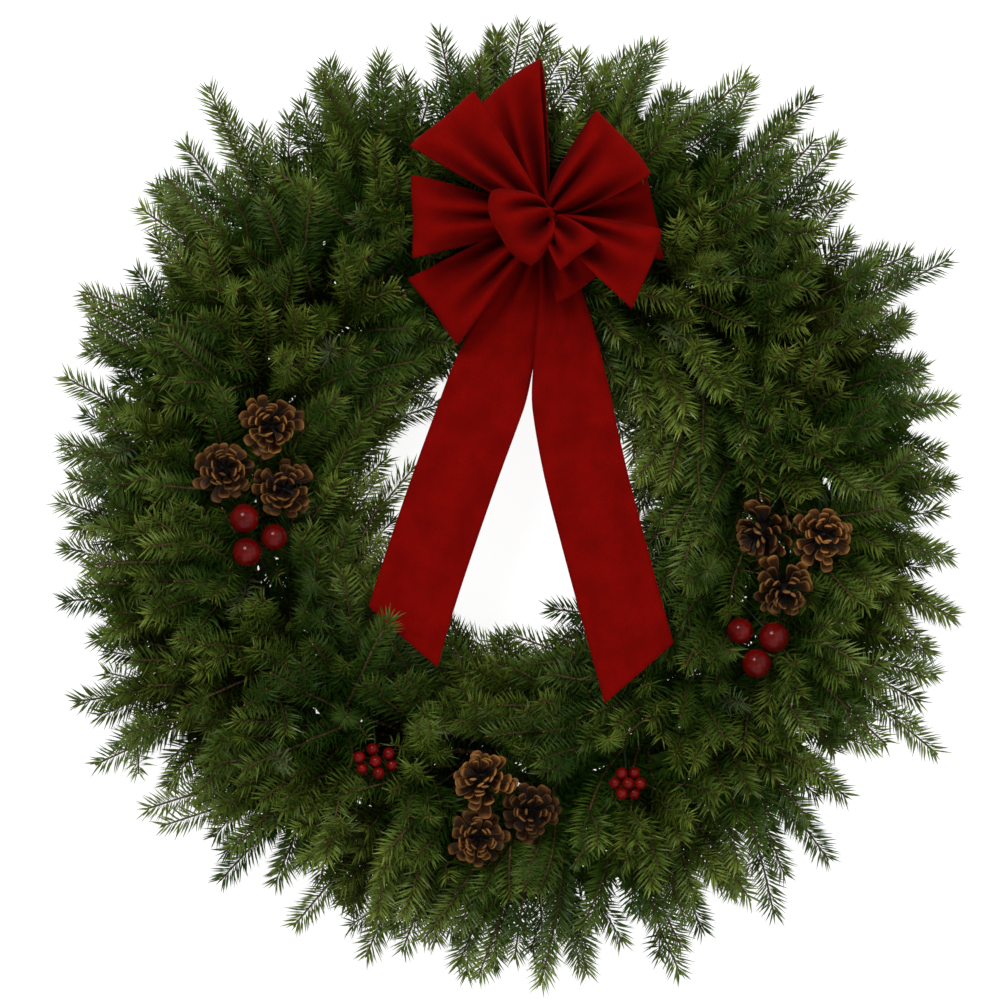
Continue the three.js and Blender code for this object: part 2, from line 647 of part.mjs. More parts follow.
stateKeepOuts();
add("clamp_ring", clampRing(), STEEL);
boughs().forEach((geometry, i) => add(`bough_${two(i)}`, geometry, FIR));
for (const [side, { foot, heads }] of Object.entries(CONES)) {
  heads.forEach((head, i) => add(`cone_${side}_${i + 1}`, coneGeometry(head), CONE_BROWN));
  add(`cone_wires_${side}`, pick(foot, heads), WIRE_GREEN);
}
for (const [side, { foot, heads }] of Object.entries(BALLS)) {
  heads.forEach((head, i) => add(`ball_${side}_${i + 1}`, ballGeometry(head), BERRY_RED));
  add(`ball_wires_${side}`, pick(foot, heads), WIRE_GREEN);
}
for (const [side, spray] of Object.entries(BERRIES)) add(`berries_${side}`, berrySpray(spray), BERRY_RED);
LOOPS.forEach((loop, i) => add(`bow_loop_${two(i)}`, ribbonGeometry(loopStations(loop)), VELVET));
add("bow_knot", ribbonGeometry(loopStations(KNOT)), VELVET);
for (const [side, tail] of Object.entries(TAILS)) add(`bow_tail_${side}`, tailGeometry(tail), VELVET);
add("bow_gather", gatherGeometry(), VELVET);
add("bow_tie", wire(tiePath(), TIE.thickness, 7), WIRE_GREEN);

export default wreath;
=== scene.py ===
import math

import bpy
import numpy as np
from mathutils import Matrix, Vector


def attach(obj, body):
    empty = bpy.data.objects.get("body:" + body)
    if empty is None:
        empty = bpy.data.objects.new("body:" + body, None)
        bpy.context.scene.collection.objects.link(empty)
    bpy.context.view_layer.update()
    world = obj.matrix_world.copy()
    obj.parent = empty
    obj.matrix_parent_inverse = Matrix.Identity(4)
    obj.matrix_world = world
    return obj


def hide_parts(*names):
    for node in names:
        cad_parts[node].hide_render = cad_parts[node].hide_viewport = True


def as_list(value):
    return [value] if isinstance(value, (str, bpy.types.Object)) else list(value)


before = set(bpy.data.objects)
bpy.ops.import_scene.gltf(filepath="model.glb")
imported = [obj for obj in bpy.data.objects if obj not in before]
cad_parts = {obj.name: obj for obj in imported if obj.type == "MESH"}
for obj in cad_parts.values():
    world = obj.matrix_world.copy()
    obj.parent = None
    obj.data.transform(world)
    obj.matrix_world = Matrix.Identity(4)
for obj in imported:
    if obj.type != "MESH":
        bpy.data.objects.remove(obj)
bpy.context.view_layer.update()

# A fresh fir wreath lying on its back: bunches of cut fir clamped round a wire ring, with pine cones,
# lacquered balls and berry sprays wired in, and a velvet ribbon bow. Lengths are in millimetres here and
# become metres where a mesh is made.
MM = 0.001
GOLDEN = math.pi * (3 - math.sqrt(5))

# ---- The layout that the solids have ----
RING_RADIUS, RING_WIRE, GAP = 203, 5, 0.35
BUNCHES, FIRST_BUNCH_DEG = 18, 11.32
STUB_LENGTH, STUB_Z, STUB_ARC = 36, 12.35, 2
CLAMP_WIRE, CLAMP_HALF, CLAMP_TOP, CLAMP_LEAN, CLAMP_LOW = 2.4, 10.4, 21, 0.9, 1.2
STEM_RISES_DEG = [15, 53, 127, 168]
# A leader: the stem it starts from, its rise above the ring's plane and its reach.
LEADERS = [(0, 6, 170), (0, 25, 158), (1, 43, 132), (1, 64, 104), (2, 116, 95), (2, 139, 92), (3, 168, 95)]
# Finer leaders that only the dressing has, spread between those: rise, reach, and how far aside each one's
# tip lies from the bunch's own line.
FANS = [
    (5, 151, (-48, 44)), (13, 157, (-24, 19, 66)), (23, 149, (-46, 40)), (33, 143, (-22, 24)),
    (44, 130, (-48, 38)), (55, 118, (-24, 15)), (66, 106, (38,)), (82, 94, (-15, 22)), (99, 90, (0, 34)),
    (126, 94, (22,)), (150, 95, (-14, 12)), (174, 92, (18,)),
]
# Short broad shoots laid flat against the back, which close the wreath from behind: rise, reach, asides.
BACKING = [(4, 116, (-60, -36, -12, 12, 36, 60)), (12, 104, (-48, -24, 0, 24)), (24, 92, (-36, -12, 12, 36)),
           (176, 66, (-22, 0, 22)), (160, 62, (-10, 14))]
# Broad shoots bound along the ring under the bunches: distance out and rise, and where they start and end.
BINDING = [(12, 40), (26, 34), (40, 30), (54, 25), (68, 18), (14, 150), (28, 160), (40, 8), (50, 32),
           (59, 12), (46, 20), (78, 8)]
BINDING_ARC, BINDING_WAVER, BINDING_WAVE = (-10, 82), 5, 20
SWEEP_START, SWEEP_SWING, SWEEP_SETTLE, SWEEP_SLOPE = 7, 54, 25, 0.35
FORK_ROOT, FORK_PART, FORK_KNEE = 1, 10, 44
OVAL_GAIN, OVAL_LAG = 0.1, 0.32
JITTER_REACH, JITTER_RISE, JITTER_SLOPE = 0.06, 2.5, 0.07
# How a finer leader strays: rise, reach of the low and the other ones, drift and aside.
FAN_RISE, FAN_REACH, FAN_REACH_HIGH, FAN_DRIFT, FAN_ASIDE = 5, 0.12, 0.6, 0.03, 9
# The shortest share of a leader, a side shoot and a back shoot that is worth keeping.
SHORTEST_SHOOT, SHORTEST_SIDE, SHORTEST_BACK = 0.4, 0.35, 0.3
LONGEST_REACH, WIDEST = 186, (362, 384)

CONES = {
    "left": (8, [((-190, 62, 108), 24.5, (0.05, -0.12, 1)), ((-227, 27, 100), 24, (0.15, 0.1, 1)),
                 ((-180, 12, 95), 23.5, (0.1, -0.05, 1))]),
    "right": (17, [((201, -24, 98), 24.5, (-0.55, -0.4, 0.75)), ((253, -26, 102), 24.5, (0.15, 0.1, 1)),
                   ((221, -70, 107), 24, (0.1, -0.35, 0.95))]),
    "bottom": (13, [((-21, -219, 112), 24.5, (-0.22, 0.35, 0.95)), ((18, -246, 99), 22.5, (0.1, 0.05, 1)),
                    ((-24, -268, 96), 22.5, (0.05, 0.05, 1))]),
}
# How bright each cone has weathered, from 0 to 1.
CONE_TONES = {"left": (0.55, 0.4, 0.4), "right": (0.28, 0.8, 0.42), "bottom": (0.88, 0.22, 0.52)}
BALLS = {
    "left": (9, [((-211, -12, 97), 11.8), ((-187, -27, 95), 10.5), ((-209, -39, 98), 11.6)]),
    "right": (16, [((186, -102, 95), 10.5), ((213, -107, 95), 12.2), ((199, -128, 97), 11.8)]),
}
BERRIES = {"left": (11, (-106, -206, 98), 1.45, -20), "right": (14, (96, -224, 96), 1.05, 60)}
BERRY_RADIUS, BERRY_RING, BERRY_STEM, BERRY_STAGGER, BERRY_FORK = 4.9, 9.6, 1.3, 4, 34
PICK_WIRE, PICK_FORK_Z, PICK_FROM_CLAMP, PICK_KNEE, PICK_STAGGER = 1.8, 46, 21, 12, 6

RIBBON_WIDTH, RIBBON_NECK, RIBBON_NECK_GAP = 66, 13, 1.7
GATHER_AT, GATHER_RADIUS, GATHER_LOW, GATHER_HIGH, GATHER_TOP = (29, 228), 9, 84, 160, 147
TIE_FOOT, TIE_WIRE, TIE_BEND_Z = 3, 2.4, 50
# A loop: bearing round the gather, length, level, rise, puff, roll and width.
LOOPS = [
    (220, 117, 108, -4, 13, 0, 66), (106, 112, 111, -4, 14, -12, 66), (0, 92, 112, -12, 11, 0, 66),
    (180, 106, 120, 5, 13, 0, 66), (-58, 63, 121, -7, 8, 0, 56), (137, 113, 137, 8, 15, 0, 66),
    (-28, 94, 134, 10, 13, 0, 66), (43, 88, 132, 10, 15, 8, 66), (-50, 47, 147, 26, 9, 0, 40),
]
KNOT = (203, 41, 156, 14, 19, 0, 66)
# How each loop is dressed: how its width spreads from the neck (1 is straight, less is rounder), how much
# further out the fold's left end lies than its right, and its pleats and their phase.
LOOP_DRESS = [
    (0.9, 1.4, 2.0, 0.4), (0.8, -12.5, 2.4, 1.1), (0.8, -5.7, 2.6, 2.0), (0.85, 0, 2.2, 2.9),
    (0.9, 0, 2.0, 3.6), (0.95, 2.9, 1.8, 4.3), (0.85, -5.7, 2.4, 0.2), (0.62, 3.2, 2.2, 1.6),
    (0.7, 0, 2.0, 0.9),
]
KNOT_DRESS = (0.45, -3, 2.6, 0.5)
KNOT_START, KNOT_ROUNDING, KNOT_SAG = -2.6, 13, 0.6
LOOP_ROUNDING, LOOP_SAG = 1.5, 0.35
PLEAT_AT_NECK, PLEAT_ON_FACE = 6.4, 3.7
TAIL_PLEAT, TAIL_PLEATS, TAIL_WAVE, TAIL_WAVE_LENGTH = 4.6, 2.6, 1.6, 38
RIBBON_THICKNESS = 0.9
TAILS = {
    "left": ([(27, 219, 91, 12), (21, 197, 90, 24), (9, 162, 88, 44), (-6, 124, 87, 58), (-18, 88, 87, 66),
              (-42, 22, 88, 66), (-70, -60, 92, 66), (-81, -96, 98, 66), (-84, -107, 100, 66)], 16),
    "right": ([(31, 218.8, 96, 12), (36, 195, 95, 22), (42, 166, 94, 36), (47, 124, 92, 52), (51, 82, 90, 64),
               (61, 30, 89, 66), (73, -18, 89, 66), (89, -78, 93, 66), (105, -136, 101, 66)], -16),
}
CLEAR_CONE, CLEAR_BALL, CLEAR_BERRY, CLEAR_RIBBON, CLEAR_WIRE_LOW, CLEAR_WIRE_HIGH = 9, 7, 5, 7, 2, 4
# No shoot stands over a trim: a capsule runs from it up to OPEN_TO, a little slimmer than the trim.
OPEN_TO, OPEN_SHARE, OPEN_CLEAR, OPEN_BERRIES = 190, 0.8, 2, 14
CONE_SPREAD, WIRE_OWN, TRUNK_OWN = 1.2, 1.5, 1


# ---- Small tools ----
def unit(v):
    return v / np.maximum(np.linalg.norm(v, axis=-1, keepdims=True), 1e-9)


def vary(bunch, shoot, use):
    """A number from -1 to 1 that depends only on the three counters: the fraction of a large sine."""
    s = math.sin(12.9898 * bunch + 78.233 * shoot + 37.719 * use + 4.1) * 43758.5453
    return 2 * (s - math.floor(s)) - 1


def smooth_line(points, count):
    """A centripetal Catmull-Rom curve through the points, sampled evenly in its parameter: between two
    points it is the cubic with their slopes, each slope weighted by the root of the gaps beside it."""
    p = np.asarray(points, float)
    p = p[:, None] if p.ndim == 1 else p
    q = np.vstack([2 * p[0] - p[1], p, 2 * p[-1] - p[-2]])
    f = np.linspace(0, len(p) - 1, count)
    i = np.minimum(f.astype(int), len(p) - 2)
    w = (f - i)[:, None]
    a, b, c, d = q[i], q[i + 1], q[i + 2], q[i + 3]
    ab, bc, cd = [np.linalg.norm(y - x, axis=1, keepdims=True) ** 0.5 for x, y in ((a, b), (b, c), (c, d))]
    bc = np.where(bc < 1e-4, 1, bc)
    ab, cd = np.where(ab < 1e-4, bc, ab), np.where(cd < 1e-4, bc, cd)
    s = ((b - a) / ab - (c - a) / (ab + bc) + (c - b) / bc) * bc
    e = ((c - b) / bc - (d - b) / (bc + cd) + (d - c) / cd) * bc
    return b + s * w + (3 * (c - b) - 2 * s - e) * w**2 + (2 * (b - c) + s + e) * w**3


def around(radius, angle, height):
    """Points at a radius and an angle round the Z axis, at a height."""
    return np.stack(np.broadcast_arrays(radius * np.cos(angle), radius * np.sin(angle), height), -1)


def turn_to(axis):
    """The matrix that turns +Z onto the axis the short way."""
    return np.array(Vector((0, 0, 1)).rotation_difference(Vector(axis)).to_matrix())


def grid_faces(rows, cols, round_rows=False, round_cols=False):
    """Quads between neighbouring grid points; a round direction joins its last line to its first."""
    i, j = np.meshgrid(np.arange(rows - (not round_rows)), np.arange(cols - (not round_cols)), indexing="ij")
    i2, j2 = (i + 1) % rows, (j + 1) % cols
    return np.stack([i * cols + j, i * cols + j2, i2 * cols + j2, i2 * cols + j], -1).reshape(-1, 4)


def closed_faces(rings, around):
    """The faces of a closed skin: quads between neighbouring rings, and triangles from each end ring to a
    pole. The two poles are the points after the last ring."""
    k = np.arange(around)
    after, last = (k + 1) % around, (rings - 1) * around
    low = np.stack([np.full(around, rings * around), after, k], -1)
    high = np.stack([np.full(around, rings * around + 1), last + k, last + after], -1)
    return [grid_faces(rings, around, round_cols=True), np.concatenate([low, high])]


def for_each(faces, count, each):
    """The same faces for count skins in a row that have each points apiece."""
    at = (np.arange(count) * each)[:, None, None]
    return [(f[None] + at).reshape(-1, f.shape[1]) for f in faces]


def tubes(lines, radii, sides):
    """Closed round rods along many lines at once: a circle of the given radius is carried along each line,
    square to it, and a pole closes each end. lines is (rods, stations, 3), radii (rods, stations)."""
    rods, stations = lines.shape[:2]
    run = unit(np.gradient(lines, axis=1))
    chord = unit(lines[:, -1:] - lines[:, :1] + 1e-6)
    ref = np.where(np.abs(chord[..., 2:]) > 0.8, [[[0.0, 1.0, 0.0]]], [[[0.0, 0.0, 1.0]]])
    right = unit(np.cross(run, ref))
    up = np.cross(right, run)
    a = 2 * np.pi * np.arange(sides) / sides
    ring = (right[:, :, None] * np.cos(a)[:, None] + up[:, :, None] * np.sin(a)[:, None])
    body = lines[:, :, None] + ring * radii[:, :, None, None]
    verts = np.concatenate([body.reshape(rods, -1, 3), lines[:, :1], lines[:, -1:]], 1)
    each = stations * sides + 2
    return verts.reshape(-1, 3), for_each(closed_faces(stations, sides), rods, each), each


def ball_grid(centre, radii, rows, cols):
    """A closed ellipsoid: rings at even steps from pole to pole, and a pole vertex at each end."""
    a = np.pi * np.arange(1, rows) / rows
    b = 2 * np.pi * np.arange(cols) / cols
    ring = around(np.sin(a)[:, None], b, -np.cos(a)[:, None]).reshape(-1, 3)
    verts = np.vstack([ring, [[0, 0, -1], [0, 0, 1]]]) * radii + centre
    return verts, closed_faces(rows - 1, cols)


class Skin:
    """Gathers surfaces into one mesh: points in millimetres, faces, a material number for each face, and a
    colour value for each point."""

    def __init__(self):
        self.points, self.faces, self.kinds, self.marks, self.count = [], [], [], [], 0

    def add(self, points, faces, kind=0, marks=(0, 0, 0)):
        points = np.asarray(points, float).reshape(-1, 3)
        for f in faces:
            self.faces.append(np.asarray(f) + self.count)
            self.kinds.append(np.full(len(f), kind))
        self.points.append(points)
        self.marks.append(np.broadcast_to(np.asarray(marks, float), (len(points), 3)))
        self.count += len(points)

    def piece(self, name, materials, nodes, smooth=True, uv=None):
        loops = np.concatenate([f.ravel() for f in self.faces])
        sizes = np.concatenate([np.full(len(f), f.shape[1]) for f in self.faces])
        mesh = bpy.data.meshes.new(name)
        mesh.vertices.add(self.count)
        mesh.vertices.foreach_set("co", (np.vstack(self.points) * MM).astype(np.float32).ravel())
        mesh.loops.add(len(loops))
        mesh.loops.foreach_set("vertex_index", loops.astype(np.int32))
        mesh.polygons.add(len(sizes))
        starts = np.concatenate([[0], np.cumsum(sizes)[:-1]])
        mesh.polygons.foreach_set("loop_start", starts.astype(np.int32))
        mesh.polygons.foreach_set("material_index", np.concatenate(self.kinds).astype(np.int32))
        mesh.polygons.foreach_set("use_smooth", np.full(len(sizes), smooth))
        marks = np.ones((self.count, 4), np.float32)
        marks[:, :3] = np.vstack(self.marks)
        mesh.attributes.new("marks", "FLOAT_COLOR", "POINT").data.foreach_set("color", marks.ravel())
        if uv is not None:
            mesh.uv_layers.new(name="cloth").data.foreach_set("uv", uv[loops].astype(np.float32).ravel())
        mesh.update(calc_edges=True)
        for material in materials:
            mesh.materials.append(material)
        made = bpy.data.objects.new(name, mesh)
        bpy.context.scene.collection.objects.link(made)
        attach(made, "root")
        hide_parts(*nodes)
        return made


# ---- Materials ----
def srgb(code):
    """An sRGB hex value as linear red, green, blue and alpha."""
    c = np.array([int(code[i:i + 2], 16) for i in (1, 3, 5)]) / 255
    return (*np.where(c <= 0.04045, c / 12.92, ((c + 0.055) / 1.055) ** 2.4), 1)


def feed(made, inputs):
    """Sets a node's inputs: each is a value, or the output that feeds it."""
    for key, value in inputs.items():
        if isinstance(value, bpy.types.NodeSocket):
            made.id_data.links.new(value, made.inputs[key])
        else:
            made.inputs[key].default_value = value


def node(tree, kind, inputs=None, ramp=None, **settings):
    """Adds one node with its settings and links, and gives its outputs."""
    made = tree.nodes.new(kind)
    for key, value in settings.items():
        setattr(made, key, value)
    feed(made, inputs or {})
    for i, (at, code) in enumerate(ramp or []):
        stops = made.color_ramp.elements
        stop = stops[i] if i < 2 else stops.new(at)
        stop.position, stop.color = at, srgb(code)
    return made.outputs


def blank(name):
    """A new material: itself, the tree to build on and its shader."""
    made = bpy.data.materials.new(name)
    made.use_nodes = True
    return made, made.node_tree, made.node_tree.nodes["Principled BSDF"]


def marks_of(tree):
    """The three marks that a piece carries at each of its points."""
    marks = node(tree, "ShaderNodeAttribute", attribute_name="marks")["Color"]
    return node(tree, "ShaderNodeSeparateColor", {0: marks})


def layered(tree, under, *layers, blend="MIX"):
    """Lays colours over the one under them in turn: each layer is how much of it shows, and its colour."""
    for share, over in layers:
        over = srgb(over) if isinstance(over, str) else over
        under = node(tree, "ShaderNodeMix", {0: share, 6: under, 7: over}, data_type="RGBA",
                     blend_type=blend)[2]
    return under


def lumps(tree, size_mm, detail, between=None, to=(0, 1), coordinates="Object"):
    """Noise fixed to the piece, with lumps about size_mm across; where two values are given, what lies
    between them is spread over the range to."""
    place = node(tree, "ShaderNodeTexCoord")[coordinates]
    grey = node(tree, "ShaderNodeTexNoise",
                {"Vector": place, "Scale": 1 / (size_mm * MM), "Detail": detail})[0]
    return node(tree, "ShaderNodeMapRange", dict(enumerate((grey, *between, *to))))[0] if between else grey


def relief(tree, size_mm, detail, strength, height_mm):
    """The same noise as a fine relief of the surface."""
    return node(tree, "ShaderNodeBump", {"Height": lumps(tree, size_mm, detail), "Strength": strength,
                                         "Distance": height_mm * MM})[0]


def fir_needle():
    """Living fir needle: a waxy blade, deep green above and dull, paler below, yellower on the year's new
    tips. Gives soft streaks of light along each blade. Its tone mark also carries painted shade: needles
    deep in a bunch are darker and glint less."""
    made, tree, shader = blank("fir_needle_waxy_leaf")
    tone, tipward, under = marks_of(tree)
    green = node(tree, "ShaderNodeValToRGB", {0: tone}, [(0, "#0c1402"), (1, "#7a9033"), (0.5, "#3d5511")])[0]
    patch = lumps(tree, 90, 0, (0.38, 0.62))
    fresh = node(tree, "ShaderNodeMath", {0: tipward, 1: 2.0}, operation="POWER")[0]
    fresh = node(tree, "ShaderNodeMath", {0: fresh, 1: 0.45}, operation="MULTIPLY")[0]
    pale = node(tree, "ShaderNodeMath", {0: under, 1: 0.45}, operation="MULTIPLY")[0]
    green = layered(tree, green, (patch, "#2b4a10"), (fresh, "#97a742"), (pale, "#8f9f7c"))
    # Painted shade: the gloss follows the tone, so needles deep in a bunch glint less.
    wax_less_in_shade = node(tree, "ShaderNodeMapRange", {0: tone, 1: 0.15, 2: 0.85, 3: 0.04, 4: 0.6})[0]
    feed(shader, {"Base Color": green, "Roughness": 0.42, "Specular IOR Level": wax_less_in_shade})
    return made


def fir_bark():
    """Young fir bark: thin, tan to red-brown, with pale cut wood at a stem's end and a brown bud at a
    twig's tip."""
    made, tree, shader = blank("fir_bark_young_twig")
    _, bud, cut = marks_of(tree)
    bark = node(tree, "ShaderNodeValToRGB", {0: lumps(tree, 3, 3)}, [(0.3, "#3d2a17"), (0.7, "#7a5a34")])[0]
    feed(shader, {"Base Color": layered(tree, bark, (bud, "#74501f"), (cut, "#cdb48a")), "Roughness": 0.75,
                  "Normal": relief(tree, 1.2, 3, 0.5, 0.6)})
    return made


def pine_cone_wood():
    """Dry pine cone scale: woody and dull, tan on its thick lip and near black towards its stalk, which is
    painted shade deep in the cone; with fine grain and here and there a shine of resin."""
    made, tree, shader = blank("pine_cone_dry_woody_scale")
    tone, lip, rim = marks_of(tree)
    # Painted shade: along a scale, from near black at its stalk to tan at its lip; the tan lip and rim are
    # its own colour.
    wood = node(tree, "ShaderNodeValToRGB", {0: lip},
                [(0, "#060200"), (1, "#55300c"), (0.5, "#100602"), (0.8, "#3c1e06")])[0]
    grain = lumps(tree, 1.6, 4, (0.35, 0.7))
    wood = layered(tree, layered(tree, wood, (0.4, "#1c0c03")), (grain, wood), (rim, "#865a2a"))
    shade = node(tree, "ShaderNodeMapRange", {0: tone, 3: 0.4, 4: 1.7})[0]
    shade = node(tree, "ShaderNodeCombineColor", {0: shade, 1: shade, 2: shade})[0]
    feed(shader, {"Base Color": layered(tree, wood, (1.0, shade), blend="MULTIPLY"),
                  "Roughness": lumps(tree, 6, 2, (0.35, 0.7), (0.42, 0.75)), "Specular IOR Level": 0.22,
                  "Normal": relief(tree, 0.9, 4, 0.5, 0.8)})
    return made


def lacquer(name, code, dark):
    """Dipped lacquer on a foam core: deep even red with a small sharp light on it under a thin clear coat,
    and a slight orange peel."""
    made, tree, shader = blank(name)
    tone = lumps(tree, 9, 2, (0.35, 0.7))
    feed(shader, {"Base Color": layered(tree, srgb(dark), (tone, code)), "Roughness": 0.16,
                  "Specular IOR Level": 0.16, "Coat Weight": 0.04, "Coat Roughness": 0.05,
                  "Normal": relief(tree, 1.5, 1, 0.12, 0.4)})
    return made


def velvet_ribbon():
    """Outdoor velvet ribbon: a short dense rayon pile flocked on a stiff backing. Matt deep red that
    brightens where it turns away, with brushed patches where the pile lies over, and painted shade that
    darkens it to near black red in the folds' hollows and near the bow's neck."""
    made, tree, shader = blank("velvet_flocked_ribbon")
    brushed = lumps(tree, 22, 3, (0.3, 0.7), coordinates="UV")
    pile = lumps(tree, 0.9, 2, (0.35, 0.65))
    # Painted shade: the first mark mixes the red towards #240000 in folds and near the neck.
    fold_shade = node(tree, "ShaderNodeMath", {0: marks_of(tree)[0], 1: 0.9}, operation="MULTIPLY")[0]
    red = layered(tree, srgb("#730401"), (brushed, "#890602"))
    red = layered(tree, layered(tree, red, (0.35, "#500201")), (pile, red), (fold_shade, "#240000"))
    feed(shader, {"Base Color": red, "Roughness": 0.95, "Specular IOR Level": 0.05, "Sheen Weight": 0.3,
                  "Sheen Roughness": 0.35, "Sheen Tint": srgb("#c80a06"),
                  "Normal": relief(tree, 0.7, 2, 0.35, 0.4)})
    return made


def enamelled_wire(name, code, metallic, roughness):
    """Drawn steel wire with a thin green enamel: an even low gloss, worn and duller in small patches."""
    made, tree, shader = blank(name)
    worn = lumps(tree, 8, 3, (0.45, 0.7))
    rough = node(tree, "ShaderNodeMapRange", {0: worn, 3: roughness, 4: roughness + 0.2})[0]
    feed(shader, {"Base Color": layered(tree, srgb(code), (worn, "#20281a")), "Metallic": metallic,
                  "Roughness": rough})
    return made


NEEDLE, BARK, CONE_WOOD = fir_needle(), fir_bark(), pine_cone_wood()
BALL_RED = lacquer("lacquer_red_dipped_ball", "#6e0b07", "#520504")
BERRY_SKIN = lacquer("lacquer_red_dipped_berry", "#800a06", "#5c0402")
VELVET = velvet_ribbon()
RING_STEEL = enamelled_wire("ring_steel_green_enamel", "#33422b", 0.3, 0.4)
FLORAL_WIRE = enamelled_wire("floral_wire_green_enamel", "#3a4a2c", 0.2, 0.45)


# ---- Ring ----
RING_STEPS, RING_SIDES = 120, 12


def clamp_angle(bunch):
    return np.radians(FIRST_BUNCH_DEG + 360 * bunch / BUNCHES)


def foot_point(foot, z):
    a = clamp_angle(foot) + PICK_FROM_CLAMP / RING_RADIUS
    return np.array([RING_RADIUS * math.cos(a), RING_RADIUS * math.sin(a), z])


def clamp_ring():
    """A rod bent into a circle, its section a small circle carried round the big one, and under each bunch
    a U of thinner wire whose two prongs lean in over the stems."""
    skin = Skin()
    a = 2 * np.pi * np.arange(RING_STEPS) / RING_STEPS
    b = 2 * np.pi * np.arange(RING_SIDES) / RING_SIDES
    r = RING_RADIUS + RING_WIRE / 2 * np.cos(b)
    rod = around(r, a[:, None], RING_WIRE / 2 * (1 + np.sin(b)))
    skin.add(rod, [grid_faces(RING_STEPS, RING_SIDES, True, True)[:, ::-1]])
    half, low = CLAMP_HALF - CLAMP_WIRE / 2, CLAMP_LOW
    corner = [(half - CLAMP_LEAN, CLAMP_TOP), (half, 12), (half, low + 4), (half - 4, low)]
    path = corner + [(0, low)] + [(-x, z) for x, z in corner[::-1]]
    flat = smooth_line(path, 19)
    turn = clamp_angle(np.arange(BUNCHES))[:, None]
    lines = around(RING_RADIUS + flat[:, 0], turn, flat[:, 1])
    verts, faces, _ = tubes(lines, np.full(lines.shape[:2], CLAMP_WIRE / 2), 6)
    skin.add(verts, faces)
    skin.piece("wire_clamp_ring", [RING_STEEL], ["clamp_ring"])


# ---- Ribbon shapes ----
def loop_frame(loop):
    """A loop's own directions: out along its bearing and rise, across it, and the lift between them."""
    bearing, _, z, rise, _, roll, _ = loop
    a, e, t = math.radians(bearing), math.radians(rise), math.radians(roll)
    out = np.array([math.cos(a) * math.cos(e), math.sin(a) * math.cos(e), math.sin(e)])
    flat = np.array([-math.sin(a), math.cos(a), 0])
    across = flat * math.cos(t) + np.cross(out, flat) * math.sin(t)
    first = (GATHER_RADIUS + GAP + 0.3) / math.cos(e) + 2 * abs(math.sin(e))
    return np.array([*GATHER_AT, z], float), out, across, np.cross(out, across), first


def loop_profile(loop, u, spread=0.85):
    """The loop from its side, for u from 0 to 1 along the ribbon: it runs out and back as a cosine, and its
    two runs part as a sine, like a long drop. Gives the distance out, the height, the width and the share of
    the way out to the fold."""
    _, length, _, _, puff, _, width = loop
    first = loop_frame(loop)[4]
    t = 2 * np.pi * u
    share = (1 - np.cos(t)) / 2
    away = first + (length - first) * share
    height = -RIBBON_NECK_GAP * np.cos(t / 2) - puff * np.sin(t) * np.sin(t / 2)
    return away, height, RIBBON_NECK + (width - RIBBON_NECK) * share**spread, share


def loop_line(loop, count):
    neck, out, across, lift, _ = loop_frame(loop)
    away, height, width, _ = loop_profile(loop, np.linspace(0, 1, count))
    return neck + away[:, None] * out + height[:, None] * lift, np.repeat(across[None], count, 0), width


def tail_line(line, count):
    """The tail's centre line, what lies across it, its width and its run: smooth curves through the given
    stations."""
    line = np.asarray(line, float)
    points = smooth_line(line[:, :3], count)
    run = unit(np.gradient(points, axis=0))
    across = unit(np.cross([0, 0, 1.0], run))
    return points, across, np.minimum(RIBBON_WIDTH, smooth_line(line[:, 3], count)[:, 0]), run


# ---- Where the trims keep the shoots out ----
def cone_base(at, radius, axis):
    depth = radius * 0.89 * 0.86 * math.cos(math.pi * 0.06) + GAP
    return np.array(at) - unit(np.array(axis, float)) * depth


def pick_paths(foot, heads):
    """A trunk that rises from the ring beside a clamp, and a bent wire from its fork to each head."""
    fork = foot_point(foot, PICK_FORK_Z)
    paths = [np.array([foot_point(foot, RING_WIRE + GAP), fork])]
    for i, head in enumerate(heads):
        axis = unit(np.array(head[2] if len(head) > 2 else (0, 0, 1), float))
        end = cone_base(*head) if len(head) > 2 else np.array(head[0]) - [0, 0, head[1] + GAP]
        paths.append(smooth_line([fork - [0, 0, 2 + PICK_STAGGER * i], end - PICK_KNEE * axis, end], 6))
    return paths


def spray_paths(foot, at, stretch, turn_deg):
    """Seven stems that part above one wire, one straight up and six to a ring round it, drawn out
    sideways; and that wire, as its trunk and its top."""
    top = np.array(at, float)
    fork, low = top - [0, 0, BERRY_FORK], foot_point(foot, PICK_FORK_Z)
    middle = top + [0, 0, BERRY_STAGGER * 0.8]
    stems = [np.array([fork - [0, 0, 2], middle])]
    for i in range(6):
        a = math.radians(turn_deg) + math.pi * i / 3
        stagger = BERRY_STAGGER * (0.5 if i % 2 else -0.5)
        berry = top + [BERRY_RING * math.cos(a) * stretch, BERRY_RING * math.sin(a), stagger]
        stems.append(np.array([fork + (middle - fork) * (0.05 + 0.09 * i), berry]))
    trunk = [foot_point(foot, RING_WIRE + GAP), low]
    return stems, [np.array(trunk), np.array([low - [0, 0, 3], fork])]


def tie_path():
    top = np.array([*GATHER_AT, GATHER_LOW - GAP])
    return np.array([foot_point(TIE_FOOT, RING_WIRE + GAP), foot_point(TIE_FOOT, TIE_BEND_Z),
                     top - [0, 0, 12], top])


